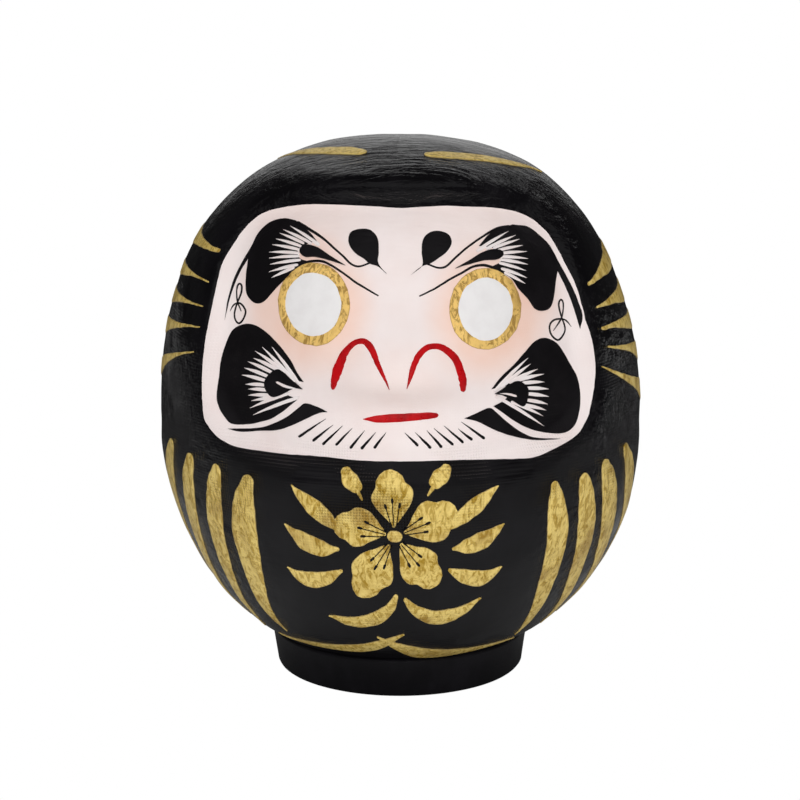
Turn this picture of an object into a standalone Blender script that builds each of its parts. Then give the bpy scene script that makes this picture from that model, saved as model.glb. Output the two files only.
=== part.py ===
"""A 12 cm daruma doll: a hollow papier-mache body in two halves on a weighted clay foot.

Blender 4.5, metres, +Z up. The origin is the middle of the underside, and the face looks
along -Y. The body is a turned shape with the face pressed into its front half. Its two
halves meet on an upright seam and are lapped inside by a paper collar. The clay foot plugs
the open bottom and keeps the doll upright, and a disc of paper closes the foot underneath.
"""

import math

import bmesh
import bpy
import numpy as np
from mathutils import Matrix, Vector

# Overall shape of the body
TOTAL_HEIGHT = 0.120  # floor to crown
BODY_RADIUS = 0.054  # at the widest ring
EQUATOR_HEIGHT = 0.060  # of the widest ring above the floor
BELLY_DROP = 0.058  # from the widest ring to where the belly's curve would close
HEAD_POWER = 2.3  # superellipse powers: 2 is an ellipse, more is squarer
BELLY_POWER = 2.2

# Walls and fits
WALL = 0.0018  # moulded paper
GLUE_GAP = 0.0003  # between pieces that are glued face to face
COLLAR_WIDTH = 0.010  # of the lap collar, across the seam
COLLAR_THICKNESS = 0.0008
COLLAR_CLEARANCE = 0.0015  # from the collar's ends up from the top of the foot's plug

# Face, pressed into the front half
FACE_BELOW_CROWN = 0.0060  # from the crown down to the upper rim of the recess
FACE_BELOW_EQUATOR = 0.0045  # from the widest ring down to the lower rim of the recess
FACE_HALF_WIDTH_TOP = 0.0385
FACE_HALF_WIDTH_BOTTOM = 0.0480
FACE_POWER = 4.0  # squareness of the rim
FACE_DEPTH_TOP = 0.0060
FACE_DEPTH_BOTTOM = 0.0052
RIM_SHARE = 0.19  # of the way in from the rim over which the recess reaches its depth
BROW_RIDGE = 0.0035  # how far the hood's edge stands out over the face
BROW_RIDGE_BELOW_CROWN = 0.0042
BROW_RIDGE_HEIGHT = 0.0023
BROW_RIDGE_HALF_WIDTH = 0.030
NOSE_HEIGHT = 0.0050
NOSE_ABOVE_EQUATOR = 0.0170
NOSE_HALF_WIDTH = 0.0150
NOSE_BRIDGE_LENGTH = 0.0110  # how far the swell runs up
NOSE_UNDERSIDE = 0.0050  # and how far it runs down
CHIN_HEIGHT = 0.0022
CHIN_ABOVE_EQUATOR = 0.0020
CHIN_HALF_WIDTH = 0.0240
CHIN_RUN = 0.0050  # how far the chin's swell runs up and down
EYE_SWELL = 0.0012
EYE_SPACING = 0.0360
EYE_ABOVE_EQUATOR = 0.0310
EYE_RADIUS = 0.0090
SIDE_KEPT = 0.010  # the press leaves the body as turned this near the seam
SIDE_BLEND = 0.012  # and takes full effect this much further forward

# Clay foot
FOOT_HEIGHT = 0.0092
FOOT_SET_BACK = 0.0004  # of the foot's top from the outside of the shell standing on it
FOOT_TAPER = 0.0011  # how much less its radius is at the floor
FOOT_EDGE = 0.0009  # radius of its rounded edges
PLUG_HEIGHT = 0.0050  # of the boss that enters the shell
PLUG_CLEARANCE = 0.0004
PLUG_CHAMFER = 0.0010
STICK_HOLE_RADIUS = 0.0040  # the dipping stick held the doll here while it was painted
UNDERSIDE_RIM = 0.0022  # width of the standing ring round the paper disc
PAPER_THICKNESS = 0.0005

# Facets
FRONT_STEPS = 44
BACK_STEPS = 24
PROFILE_STEPS_FRONT = 38
PROFILE_STEPS_BACK = 20
COLLAR_STEPS = 44
COLLAR_STEPS_ACROSS = 4
SETTLING_STEPS = 8
FOOT_STEPS = 48
EDGE_STEPS = 3
CURVE_SAMPLES = 400
RIM_CROWDING = 1.3  # how much closer the front's rings stand at the face's two rims
RIM_CROWDING_REACH = 0.008


def clear_scene():
    for obj in list(bpy.data.objects):
        bpy.data.objects.remove(obj)


def make_material(name, colour, roughness, metallic=0.0):
    """A Principled BSDF in one plain finish."""
    material = bpy.data.materials.new(name)
    material.use_nodes = True
    shader = material.node_tree.nodes["Principled BSDF"]
    shader.inputs["Base Color"].default_value = (*colour, 1.0)
    shader.inputs["Roughness"].default_value = roughness
    shader.inputs["Metallic"].default_value = metallic
    material.diffuse_color = (*colour, 1.0)
    return material


def add_object(name, bm, material):
    """Merges doubles, turns the faces outwards and links the mesh as one named part."""
    bmesh.ops.remove_doubles(bm, verts=bm.verts, dist=1e-6)
    bmesh.ops.dissolve_degenerate(bm, edges=bm.edges, dist=1e-7)
    bmesh.ops.recalc_face_normals(bm, faces=bm.faces)
    mesh = bpy.data.meshes.new(name)
    bm.to_mesh(mesh)
    bm.free()
    mesh.shade_smooth()
    mesh.set_sharp_from_angle(angle=math.radians(35))
    mesh.materials.append(material)
    obj = bpy.data.objects.new(name, mesh)
    bpy.context.scene.collection.objects.link(obj)
    return obj


def smooth_step(value):
    """0 below 0, 1 above 1, and an S between."""
    share = min(1.0, max(0.0, value))
    return share * share * (3.0 - 2.0 * share)


def body_curve(inset, bottom, steps, crowded=False):
    """(radius, height) points from the height bottom up to the axis, inset from the turned body's outside."""
    angle = np.linspace(-0.5 * math.pi, 0.5 * math.pi, CURVE_SAMPLES)
    power = np.where(angle < 0.0, BELLY_POWER, HEAD_POWER)
    reach = np.where(angle < 0.0, BELLY_DROP, TOTAL_HEIGHT - EQUATOR_HEIGHT)
    radius = BODY_RADIUS * np.abs(np.cos(angle)) ** (2.0 / power)
    rise = np.sign(angle) * reach * np.abs(np.sin(angle)) ** (2.0 / power)
    height = EQUATOR_HEIGHT + rise
    along_radius = np.gradient(radius)
    along_height = np.gradient(height)
    length = np.hypot(along_radius, along_height)
    radius = radius - inset * along_height / length
    height = height + inset * along_radius / length
    radius[-1] = 0.0
    first = int(np.argmax(height > bottom))
    start = np.interp(bottom, height[first - 1 : first + 1], radius[first - 1 : first + 1])
    radius = np.concatenate([[start], radius[first:]])
    height = np.concatenate([[bottom], height[first:]])
    crowding = np.ones(len(height) - 1)
    if crowded:
        middle = 0.5 * (height[1:] + height[:-1])
        for rim in (EQUATOR_HEIGHT, TOTAL_HEIGHT - FACE_BELOW_CROWN):
            crowding += RIM_CROWDING * np.exp(-(((middle - rim) / RIM_CROWDING_REACH) ** 2))
    lengths = crowding * np.hypot(np.diff(radius), np.diff(height))
    run = np.concatenate([[0.0], np.cumsum(lengths)])
    stops = np.linspace(0.0, run[-1], steps + 1)
    return list(zip(np.interp(stops, run, radius), np.interp(stops, run, height)))


def face_press(x, z):
    """How far the mould pushes the body's front back at (x, z); a negative value stands out."""
    crown = TOTAL_HEIGHT
    face_top = crown - FACE_BELOW_CROWN
    face_bottom = EQUATOR_HEIGHT - FACE_BELOW_EQUATOR
    middle = 0.5 * (face_top + face_bottom)
    half_height = 0.5 * (face_top - face_bottom)
    up = (z - face_bottom) / (face_top - face_bottom)
    level = min(1.0, max(0.0, up))
    half_width = FACE_HALF_WIDTH_BOTTOM + level * (FACE_HALF_WIDTH_TOP - FACE_HALF_WIDTH_BOTTOM)
    reach = (abs(x) / half_width) ** FACE_POWER + (abs(z - middle) / half_height) ** FACE_POWER
    inside = (1.0 - reach ** (1.0 / FACE_POWER)) / RIM_SHARE
    depth = FACE_DEPTH_BOTTOM + level * (FACE_DEPTH_TOP - FACE_DEPTH_BOTTOM)
    recess = depth * smooth_step(inside)
    ridge_drop = (z - (crown - BROW_RIDGE_BELOW_CROWN)) / BROW_RIDGE_HEIGHT
    ridge = BROW_RIDGE * math.exp(-(ridge_drop**2) - (x / BROW_RIDGE_HALF_WIDTH) ** 4)
    nose_z = z - (EQUATOR_HEIGHT + NOSE_ABOVE_EQUATOR)
    nose_run = NOSE_BRIDGE_LENGTH if nose_z > 0.0 else NOSE_UNDERSIDE
    nose = NOSE_HEIGHT * math.exp(-((x / NOSE_HALF_WIDTH) ** 2) - (nose_z / nose_run) ** 2)
    chin_z = (z - (EQUATOR_HEIGHT + CHIN_ABOVE_EQUATOR)) / CHIN_RUN
    chin = CHIN_HEIGHT * math.exp(-((x / CHIN_HALF_WIDTH) ** 4) - chin_z**2)
    eye_x = (abs(x) - 0.5 * EYE_SPACING) / EYE_RADIUS
    eye_z = (z - (EQUATOR_HEIGHT + EYE_ABOVE_EQUATOR)) / EYE_RADIUS
    eye = EYE_SWELL * math.exp(-((eye_x**2 + eye_z**2) ** 2))
    return recess - ridge - (nose + chin + eye) * smooth_step(inside)


def half_shell(name, front, steps, profile_steps, material):
    """One moulded half of the body, from its flat seam to its front or back, open at the bottom."""
    bottom = FOOT_HEIGHT + GLUE_GAP
    outer = body_curve(0.0, bottom, profile_steps, front)
    inner = body_curve(WALL, bottom, profile_steps, front)
    outline = outer + inner[::-1]
    bm = bmesh.new()
    section = bm.faces.new([bm.verts.new((radius, 0.0, height)) for radius, height in outline])
    bmesh.ops.spin(
        bm,
        geom=[section, *section.edges, *section.verts],
        cent=(0.0, 0.0, 0.0),
        axis=(0.0, 0.0, 1.0),
        angle=-math.pi if front else math.pi,
        steps=steps,
    )
    bmesh.ops.remove_doubles(bm, verts=bm.verts, dist=1e-6)
    side = -1.0 if front else 1.0
    for vertex in bm.verts:
        if front:
            strength = smooth_step((-vertex.co.y - SIDE_KEPT) / SIDE_BLEND)
            vertex.co.y += strength * face_press(vertex.co.x, vertex.co.z)
        # The seam face is trimmed back by half the glue gap.
        vertex.co.y = side * max(side * vertex.co.y, 0.5 * GLUE_GAP)
    return add_object(name, bm, material)


def depth_inside(wall, radius, height):
    """How far (radius, height) lies inside the wall's line, which runs up to the axis."""
    start = wall[:-1]
    span = wall[1:] - start
    offset = np.array([radius, height]) - start
    share = np.clip((offset * span).sum(axis=1) / (span * span).sum(axis=1), 0.0, 1.0)
    away = offset - share[:, None] * span
    distance = np.hypot(away[:, 0], away[:, 1])
    nearest = int(np.argmin(distance))
    turn = span[nearest, 0] * offset[nearest, 1] - span[nearest, 1] * offset[nearest, 0]
    return math.copysign(distance[nearest], turn)


def lap_collar(material):
    """The paper hoop glued inside the seam, over the crown and down both sides."""
    bottom = FOOT_HEIGHT + PLUG_HEIGHT + COLLAR_CLEARANCE
    wall = np.array(body_curve(WALL, FOOT_HEIGHT + GLUE_GAP, PROFILE_STEPS_BACK))
    start = [[np.interp(bottom, wall[:, 1], wall[:, 0]), bottom]]
    wall = np.vstack([start, wall[wall[:, 1] > bottom]])
    run = np.concatenate([[0.0], np.cumsum(np.hypot(*np.diff(wall, axis=0).T))])
    stops = np.linspace(0.0, run[-1], COLLAR_STEPS + 1)
    curve = np.column_stack([np.interp(stops, run, wall[:, 0]), np.interp(stops, run, wall[:, 1])])
    along = np.gradient(curve, axis=0)
    length = np.hypot(along[:, 0], along[:, 1])
    normal_x = along[:, 1] / length
    normal_z = -along[:, 0] / length
    normal_x[-1] = 0.0
    normal_z[-1] = 1.0
    bm = bmesh.new()
    for side in (-1.0, 1.0):
        rows = []
        for (radius, height), nx, nz in zip(curve, normal_x, normal_z):
            row = []
            for i in range(COLLAR_STEPS_ACROSS + 1):
                y = COLLAR_WIDTH * (i / COLLAR_STEPS_ACROSS - 0.5)
                # Each point sinks until it stands off by the glue gap from the wall's own facets.
                sink = 0.0
                for _ in range(SETTLING_STEPS):
                    x = radius - sink * nx
                    z = height - sink * nz
                    sink += GLUE_GAP - depth_inside(wall, math.hypot(x, y), z)
                row.append(bm.verts.new((side * (radius - sink * nx), y, height - sink * nz)))
            rows.append(row)
        for lower, upper in zip(rows, rows[1:]):
            for i in range(COLLAR_STEPS_ACROSS):
                bm.faces.new((lower[i], lower[i + 1], upper[i + 1], upper[i]))
    obj = add_object("lap_collar", bm, material)
    thicken = obj.modifiers.new("paper_thickness", "SOLIDIFY")
    thicken.thickness = COLLAR_THICKNESS
    thicken.offset = -1.0
    thicken.use_even_offset = True
    return obj


def edge_arc(radius, height, start, end):
    """Points of a rounded edge about (radius, height), from one angle to the other in degrees."""
    angles = [math.radians(start + (end - start) * i / EDGE_STEPS) for i in range(EDGE_STEPS + 1)]
    return [(radius + FOOT_EDGE * math.cos(a), height + FOOT_EDGE * math.sin(a)) for a in angles]


def foot_radii():
    """The foot's radii under the shell's edge, at the floor, and of the plug inside the opening."""
    edge = body_curve(0.0, FOOT_HEIGHT + GLUE_GAP, PROFILE_STEPS_BACK)[0][0]
    opening = body_curve(WALL, FOOT_HEIGHT + GLUE_GAP, PROFILE_STEPS_BACK)[0][0]
    top = edge - FOOT_SET_BACK
    return top, top - FOOT_TAPER, opening - PLUG_CLEARANCE


def spun_solid(name, outline, material):
    """A closed outline turned all the way round Z."""
    bm = bmesh.new()
    verts = [bm.verts.new((radius, 0.0, height)) for radius, height in outline]
    edges = [bm.edges.new(pair) for pair in zip(verts, verts[1:] + verts[:1])]
    bmesh.ops.spin(
        bm,
        geom=verts + edges,
        cent=(0.0, 0.0, 0.0),
        axis=(0.0, 0.0, 1.0),
        angle=2.0 * math.pi,
        steps=FOOT_STEPS,
        use_merge=True,
    )
    return add_object(name, bm, material)


def clay_foot(material):
    """The weighted foot: a low drum with a plug above, a dished underside and the stick's hole."""
    top_radius, floor_radius, plug = foot_radii()
    dish_radius = floor_radius - UNDERSIDE_RIM
    dish = PAPER_THICKNESS + GLUE_GAP
    plug_top = FOOT_HEIGHT + PLUG_HEIGHT
    outline = [(STICK_HOLE_RADIUS, dish), (dish_radius, dish), (dish_radius, 0.0)]
    outline += edge_arc(floor_radius - FOOT_EDGE, FOOT_EDGE, -90.0, 0.0)
    outline += edge_arc(top_radius - FOOT_EDGE, FOOT_HEIGHT - FOOT_EDGE, 0.0, 90.0)
    outline += [
        (plug, FOOT_HEIGHT),
        (plug, plug_top - PLUG_CHAMFER),
        (plug - PLUG_CHAMFER, plug_top),
        (STICK_HOLE_RADIUS, plug_top),
    ]
    return spun_solid("clay_foot", outline, material)


def base_paper(material):
    """The disc pasted into the foot's dished underside."""
    radius = foot_radii()[1] - UNDERSIDE_RIM - GLUE_GAP
    bm = bmesh.new()
    bmesh.ops.create_cone(
        bm,
        cap_ends=True,
        segments=FOOT_STEPS,
        radius1=radius,
        radius2=radius,
        depth=PAPER_THICKNESS,
        matrix=Matrix.Translation(Vector((0.0, 0.0, 0.5 * PAPER_THICKNESS))),
    )
    return add_object("base_paper", bm, material)


def main():
    clear_scene()
    lacquer = make_material("black_lacquer", (0.010, 0.010, 0.012), 0.28)
    clay = make_material("lacquered_clay", (0.009, 0.009, 0.010), 0.34)
    pulp = make_material("moulded_paper", (0.48, 0.44, 0.37), 0.90)
    paper = make_material("base_paper", (0.70, 0.64, 0.52), 0.85)
    half_shell("front_shell", True, FRONT_STEPS, PROFILE_STEPS_FRONT, lacquer)
    half_shell("back_shell", False, BACK_STEPS, PROFILE_STEPS_BACK, lacquer)
    lap_collar(pulp)
    clay_foot(clay)
    base_paper(paper)


main()
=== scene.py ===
# %% [markdown]
# # A painted daruma doll
#
# The doll is a round, hollow shell of moulded paper on a clay foot. It is dipped in black
# lacquer, and then a painter lays on the rest with a brush: a chalk-white face with an orange
# blush, black brows and beard, red nostrils and mouth, and gold strokes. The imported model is
# the frame, so every size here starts from its boxes.

# %% Frame
import math

import bmesh
import bpy
import numpy as np
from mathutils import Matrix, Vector, noise
from mathutils.bvhtree import BVHTree
from mathutils.interpolate import poly_3d_calc


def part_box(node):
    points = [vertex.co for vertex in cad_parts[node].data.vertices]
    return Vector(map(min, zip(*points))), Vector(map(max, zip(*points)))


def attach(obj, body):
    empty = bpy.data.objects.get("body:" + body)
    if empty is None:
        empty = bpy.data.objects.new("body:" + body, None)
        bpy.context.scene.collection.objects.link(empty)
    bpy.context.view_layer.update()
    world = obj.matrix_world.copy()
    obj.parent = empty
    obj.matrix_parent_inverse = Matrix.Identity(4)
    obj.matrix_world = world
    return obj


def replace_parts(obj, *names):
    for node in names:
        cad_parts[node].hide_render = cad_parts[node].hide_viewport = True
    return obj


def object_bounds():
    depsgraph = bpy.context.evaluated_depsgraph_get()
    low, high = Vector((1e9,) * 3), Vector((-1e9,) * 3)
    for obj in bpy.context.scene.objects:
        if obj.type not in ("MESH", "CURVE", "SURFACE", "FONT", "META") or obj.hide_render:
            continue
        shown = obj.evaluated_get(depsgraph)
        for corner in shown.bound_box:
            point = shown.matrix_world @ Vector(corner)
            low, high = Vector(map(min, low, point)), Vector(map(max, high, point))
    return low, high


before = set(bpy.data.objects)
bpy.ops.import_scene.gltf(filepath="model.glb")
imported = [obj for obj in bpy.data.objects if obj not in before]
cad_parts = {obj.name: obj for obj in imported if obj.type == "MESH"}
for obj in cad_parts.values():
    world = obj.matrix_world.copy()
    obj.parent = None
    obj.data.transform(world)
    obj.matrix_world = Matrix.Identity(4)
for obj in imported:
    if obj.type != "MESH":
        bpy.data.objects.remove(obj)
cad_low, cad_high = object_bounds()
scene = bpy.context.scene
MM = 0.001
HEIGHT = cad_high.z
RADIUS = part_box("back_shell")[1].x
SHELL_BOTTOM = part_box("back_shell")[0].z
EQUATOR = HEIGHT / 2
print("frame loaded:", sorted(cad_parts), "height", round(HEIGHT, 4))

# %% [markdown]
# ## Camera
#
# A product picture is taken from some way off with a long lens, so that the round body keeps
# its shape. The camera stands 600 mm from the middle of the doll and looks down a little. It
# could be placed with a constraint, but a direction turned into a rotation keeps it plain.

# %% Camera
AIM = Vector((0.0, 0.0, 60.6 * MM))
EYE_DISTANCE = 600 * MM
EYE_ELEVATION = math.radians(13.5)
EYE = AIM + EYE_DISTANCE * Vector((0.0, -math.cos(EYE_ELEVATION), math.sin(EYE_ELEVATION)))
SHEET_UP = Vector((0.0, math.sin(EYE_ELEVATION), math.cos(EYE_ELEVATION)))

camera_data = bpy.data.cameras.new("camera")
camera_data.lens = 120.0
camera_data.sensor_width = 36.0
camera = bpy.data.objects.new("camera", camera_data)
camera.location = EYE
camera.rotation_euler = (AIM - EYE).to_track_quat("-Z", "Y").to_euler()
scene.collection.objects.link(camera)
scene.camera = camera
scene.view_settings.view_transform = "Standard"
print("camera at", [round(c, 4) for c in EYE])

# %% [markdown]
# ## Nodes
#
# Every finish here is procedural. These helpers place a node, join two sockets and start a
# material, so that the cells below can be read as a recipe.


# %% Node helpers
def add_node(tree, kind, **settings):
    """Places one shader node and sets its properties."""
    node = tree.nodes.new(kind)
    for key, value in settings.items():
        setattr(node, key, value)
    return node


def connect(tree, value, socket):
    """Gives an input its value: another node's socket is linked, and anything else is set."""
    if isinstance(value, bpy.types.NodeSocket):
        tree.links.new(value, socket)
    else:
        socket.default_value = value


def feed(tree, node, **inputs):
    """Gives a node's inputs their values by name, with _ for a space."""
    for key, value in inputs.items():
        connect(tree, value, node.inputs[key.replace("_", " ")])
    return node


def math_node(tree, operation, first, second=0.0, clamp=False):
    """One Math node, which gives its result's socket."""
    node = add_node(tree, "ShaderNodeMath", operation=operation, use_clamp=clamp)
    for socket, value in zip(node.inputs, (first, second)):
        connect(tree, value, socket)
    return node.outputs[0]


def times(tree, first, second):
    return math_node(tree, "MULTIPLY", first, second)


def plus(tree, first, second, clamp=False):
    return math_node(tree, "ADD", first, second, clamp)


def minus(tree, first, second):
    return math_node(tree, "SUBTRACT", first, second)


def smooth_range(tree, value, low, high, to_low=0.0, to_high=1.0):
    """Maps a value from one range to another along an S curve."""
    node = add_node(tree, "ShaderNodeMapRange", interpolation_type="SMOOTHSTEP")
    feed(tree, node, Value=value, From_Min=low, From_Max=high, To_Min=to_low, To_Max=to_high)
    return node.outputs["Result"]


def mix_colour(tree, share, first, second):
    """Mixes two colours by the share that the second one has."""
    node = add_node(tree, "ShaderNodeMix", data_type="RGBA")
    tree.links.new(share, node.inputs["Factor"])
    for socket, colour in ((node.inputs[6], first), (node.inputs[7], second)):
        made = isinstance(colour, bpy.types.NodeSocket)
        connect(tree, colour if made else (*colour, 1.0), socket)
    return node.outputs[2]


def noise_node(tree, vector, scale, detail=2.0, roughness=0.5, distortion=0.0):
    """A noise texture's value on the given coordinates."""
    node = add_node(tree, "ShaderNodeTexNoise")
    feed(tree, node, Vector=vector, Scale=scale, Detail=detail, Roughness=roughness)
    return feed(tree, node, Distortion=distortion).outputs["Fac"]


def position(tree):
    """Where a point lies on the doll: the whole vector, and the sockets of its X, Y and Z."""
    place = add_node(tree, "ShaderNodeTexCoord").outputs["Object"]
    axes = add_node(tree, "ShaderNodeSeparateXYZ")
    tree.links.new(place, axes.inputs[0])
    return place, axes.outputs


def stretched(tree, vector, scale):
    """Coordinates scaled by a different amount along each axis."""
    return feed(tree, add_node(tree, "ShaderNodeMapping"), Vector=vector, Scale=scale).outputs[0]


def new_group(name, inputs, outputs):
    """A shader node group with named float inputs and named outputs."""
    group = bpy.data.node_groups.new(name, "ShaderNodeTree")
    add_socket = group.interface.new_socket
    for given, default in inputs.items():
        add_socket(given, in_out="INPUT", socket_type="NodeSocketFloat").default_value = default
    for result, kind in outputs.items():
        add_socket(result, in_out="OUTPUT", socket_type=kind)
    start, end = group.nodes.new("NodeGroupInput"), group.nodes.new("NodeGroupOutput")
    return group, start.outputs, end.inputs


def new_material(name, roughness, level, metallic=0.0):
    """A material with these values on its shader. Gives the material, its tree and the shader."""
    material = bpy.data.materials.new(name)
    material.use_nodes = True
    tree = material.node_tree
    shader = tree.nodes["Principled BSDF"]
    shader.inputs["Roughness"].default_value = roughness
    shader.inputs["Specular IOR Level"].default_value = level
    shader.inputs["Metallic"].default_value = metallic
    return material, tree, shader


def group_node(tree, group, **values):
    """Places a node group and sets its inputs."""
    node = add_node(tree, "ShaderNodeGroup", node_tree=group)
    feed(tree, node, **values)
    return node.outputs


def relief(tree, shader, height, distance):
    """Turns a height into the shader's normal."""
    bump = feed(tree, add_node(tree, "ShaderNodeBump"), Height=height, Distance=distance, Strength=1.0)
    tree.links.new(bump.outputs["Normal"], shader.inputs["Normal"])


print("node helpers ready")

# %% [markdown]
# ## The paper's surface
#
# The pulp is sucked against a former of fine wire mesh and dried. So the shell is a little
# lumpy, and in patches the weave of the mesh shows through every coat of paint. All the paints
# lie on that same surface, so its relief is one group read by each of them. The mesh follows
# the doll round: its two directions are the distance round the body and the height.


# %% Group for the paper's relief
WEAVE_PITCH = 0.62 * MM
WAVE_SCALE = 0.314  # a Wave texture of scale 1 repeats about every 0.314 of a unit


def make_weave(group, around, place, height):
    """The mesh's print: two sets of bands across each other, in patches, by height."""
    bands = []
    for axis in ("X", "Z"):
        wave = add_node(group, "ShaderNodeTexWave", wave_type="BANDS", bands_direction=axis)
        feed(group, wave, Vector=around, Scale=WAVE_SCALE / WEAVE_PITCH)
        bands.append(feed(group, wave, Distortion=0.35, Detail=1.0, Detail_Scale=0.4).outputs["Fac"])
    patches = smooth_range(group, noise_node(group, place, 75.0, 2.0), 0.40, 0.60, 0.15, 1.0)
    depth = smooth_range(group, height, 74 * MM, 92 * MM, 1.0, 0.0)
    for low, high, end in ((43 * MM, 51 * MM, 3.0), (59 * MM, 66 * MM, -3.0)):
        depth = plus(group, depth, smooth_range(group, height, low, high, 0.0, end))
    return times(group, times(group, times(group, bands[0], bands[1]), patches), depth)


def make_strokes(group, around, place, height):
    """Fine streaks of the brush: round the body, and straight across on the crown, pressed harder."""
    round_it, across_it = (
        noise_node(group, stretched(group, source, (0.17, 1.0, 1.0)), 620.0, 3.0, 0.6, 0.5)
        for source in (around, place)
    )
    crown = smooth_range(group, height, 90 * MM, 106 * MM)
    below = times(group, round_it, minus(group, 1.0, crown))
    streaks = plus(group, below, times(group, across_it, crown))
    return times(group, streaks, plus(group, times(group, crown, 2.6), 1.0))


def make_wrinkles(group, place, axes):
    """Small puckers that dried in patches on the flanks."""
    puckers = noise_node(group, place, 430.0, 4.0, 0.55, 0.8)
    spots = smooth_range(group, noise_node(group, place, 52.0, 2.0), 0.36, 0.52)
    beside = smooth_range(group, math_node(group, "ABSOLUTE", axes["X"]), 24 * MM, 36 * MM)
    fewer_above = smooth_range(group, axes["Z"], 84 * MM, 96 * MM, 1.0, 0.25)
    return times(group, times(group, puckers, spots), times(group, beside, fewer_above))


def make_paper_relief():
    group, given, out = new_group(
        "paper_relief",
        {"Lumps": 1.0, "Weave": 1.0, "Strokes": 0.5, "Wrinkles": 0.0},
        {"Height": "NodeSocketFloat", "Round": "NodeSocketVector"},
    )
    place, axes = position(group)
    turn = math_node(group, "ARCTAN2", axes["X"], times(group, axes["Y"], -1.0))
    unrolled = add_node(group, "ShaderNodeCombineXYZ")
    feed(group, unrolled, X=times(group, turn, RADIUS), Y=0.0, Z=axes["Z"])
    around = unrolled.outputs[0]
    height = times(group, noise_node(group, place, 160.0, 3.0, 0.55, 0.4), given["Lumps"])
    for part, share, name in (
        (make_weave(group, around, place, axes["Z"]), 0.30, "Weave"),
        (make_strokes(group, around, place, axes["Z"]), 0.50, "Strokes"),
        (make_wrinkles(group, place, axes), 1.0, "Wrinkles"),
    ):
        height = plus(group, height, times(group, times(group, part, given[name]), share))
    group.links.new(height, out["Height"])
    group.links.new(around, out["Round"])
    return group


PAPER_RELIEF = make_paper_relief()
print("group:", PAPER_RELIEF.name)

# %% [markdown]
# ## Black lacquer
#
# The body is dipped in black and wiped over with a brush. The coat is glossy, but it dries
# thinner on the high spots and the brush leaves fine streaks, so the gloss varies. A flat black
# with one roughness would look like plastic.


# %% Lacquer materials
def make_lacquer(name, base, dull, level, lumps, weave, strokes, depth, wrinkles=0.0):
    material, tree, shader = new_material(name, dull, level)
    surface = group_node(tree, PAPER_RELIEF, Lumps=lumps, Weave=weave, Strokes=strokes, Wrinkles=wrinkles)
    thin = smooth_range(tree, noise_node(tree, surface["Round"], 60.0, 3.0, 0.6), 0.40, 0.70)
    worn = tuple(c * 1.9 for c in base)
    tree.links.new(mix_colour(tree, thin, base, worn), shader.inputs["Base Color"])
    fine = noise_node(tree, surface["Round"], 700.0, 2.0, 0.6)
    rough = plus(tree, times(tree, thin, 0.10), times(tree, fine, 0.12))
    tree.links.new(plus(tree, rough, dull - 0.06), shader.inputs["Roughness"])
    relief(tree, shader, surface["Height"], depth)
    return material


LACQUER = make_lacquer(
    "black_lacquer", (0.0030, 0.0026, 0.0034), 0.15, 0.50, 1.2, 1.3, 1.0, 0.22 * MM, wrinkles=4.0
)
FOOT_LACQUER = make_lacquer(
    "foot_lacquer", (0.0034, 0.0030, 0.0040), 0.40, 0.30, 0.8, 0.25, 0.5, 0.10 * MM
)
BRUSH_BLACK = make_lacquer(
    "brush_black", (0.0046, 0.0038, 0.0046), 0.36, 0.34, 1.4, 0.5, 0.8, 0.16 * MM
)
print("lacquers:", LACQUER.name, FOOT_LACQUER.name, BRUSH_BLACK.name)

# %% [markdown]
# ## Gold, white and red paint
#
# The gold is bronze powder in varnish. Where the brush ran dry it shows the black under it, and
# where it pooled it is deep yellow. The white is crushed shell in glue, warmed by a pink tone
# and by an orange blush that is sprayed round each eye. The blush could be painted on a map,
# but a distance from the eye does the same and stays with the doll.


# %% Gold paint
def make_gold(name, bright, deep, brown, edge, mottle, depth):
    material, tree, shader = new_material(name, 0.36, 0.6, metallic=0.12)
    surface = group_node(tree, PAPER_RELIEF, Lumps=0.5, Weave=1.0, Strokes=0.5)
    place, _ = position(tree)
    streak = noise_node(tree, stretched(tree, place, (1.0, 1.0, 0.35)), 700.0, 4.0, 0.65, 1.5)
    dry = smooth_range(tree, streak, 0.46, 0.60)
    wet = smooth_range(tree, noise_node(tree, place, 230.0, 4.0, 0.65, 1.2), 0.44, 0.60)
    share = plus(tree, times(tree, dry, mottle), times(tree, wet, 1.0 - mottle))
    colour = mix_colour(tree, share, bright, deep)
    blotch = smooth_range(tree, noise_node(tree, place, 75.0, 3.0, 0.6), 0.54, 0.70, 0.0, 0.55)
    colour = mix_colour(tree, blotch, colour, brown)
    # Every film carries its own thickness, so the gold thins to a broken line along its edge.
    paint = add_node(tree, "ShaderNodeAttribute", attribute_name="thickness").outputs["Fac"]
    rim = plus(tree, paint, times(tree, minus(tree, streak, 0.5), 0.9))
    thin = smooth_range(tree, rim, 0.05, 0.42, 0.85, 0.0)
    tree.links.new(mix_colour(tree, thin, colour, edge), shader.inputs["Base Color"])
    tree.links.new(plus(tree, times(tree, streak, 0.25), 0.20), shader.inputs["Roughness"])
    relief(tree, shader, plus(tree, surface["Height"], times(tree, streak, 1.2)), depth)
    return material


GOLD = make_gold(
    "gold_paint", (1.0, 0.75, 0.23), (0.47, 0.28, 0.02), (0.34, 0.18, 0.03), (0.46, 0.33, 0.13),
    0.72, 0.26 * MM,
)
GOLD_RING = make_gold(
    "gold_ring", (1.0, 0.66, 0.20), (0.42, 0.24, 0.05), (0.42, 0.24, 0.06), (0.42, 0.25, 0.07),
    0.9, 0.18 * MM,
)
print("gold:", GOLD.name, GOLD_RING.name)

# %% Shell white, eye white and red
EYE_CENTRES = ((-18.0 * MM, 91.5 * MM), (18.0 * MM, 90.5 * MM))
BLUSH_REACH = 16.5 * MM
BLUSH_SHIFT = 1.5 * MM  # outwards and down from the eye


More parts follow.
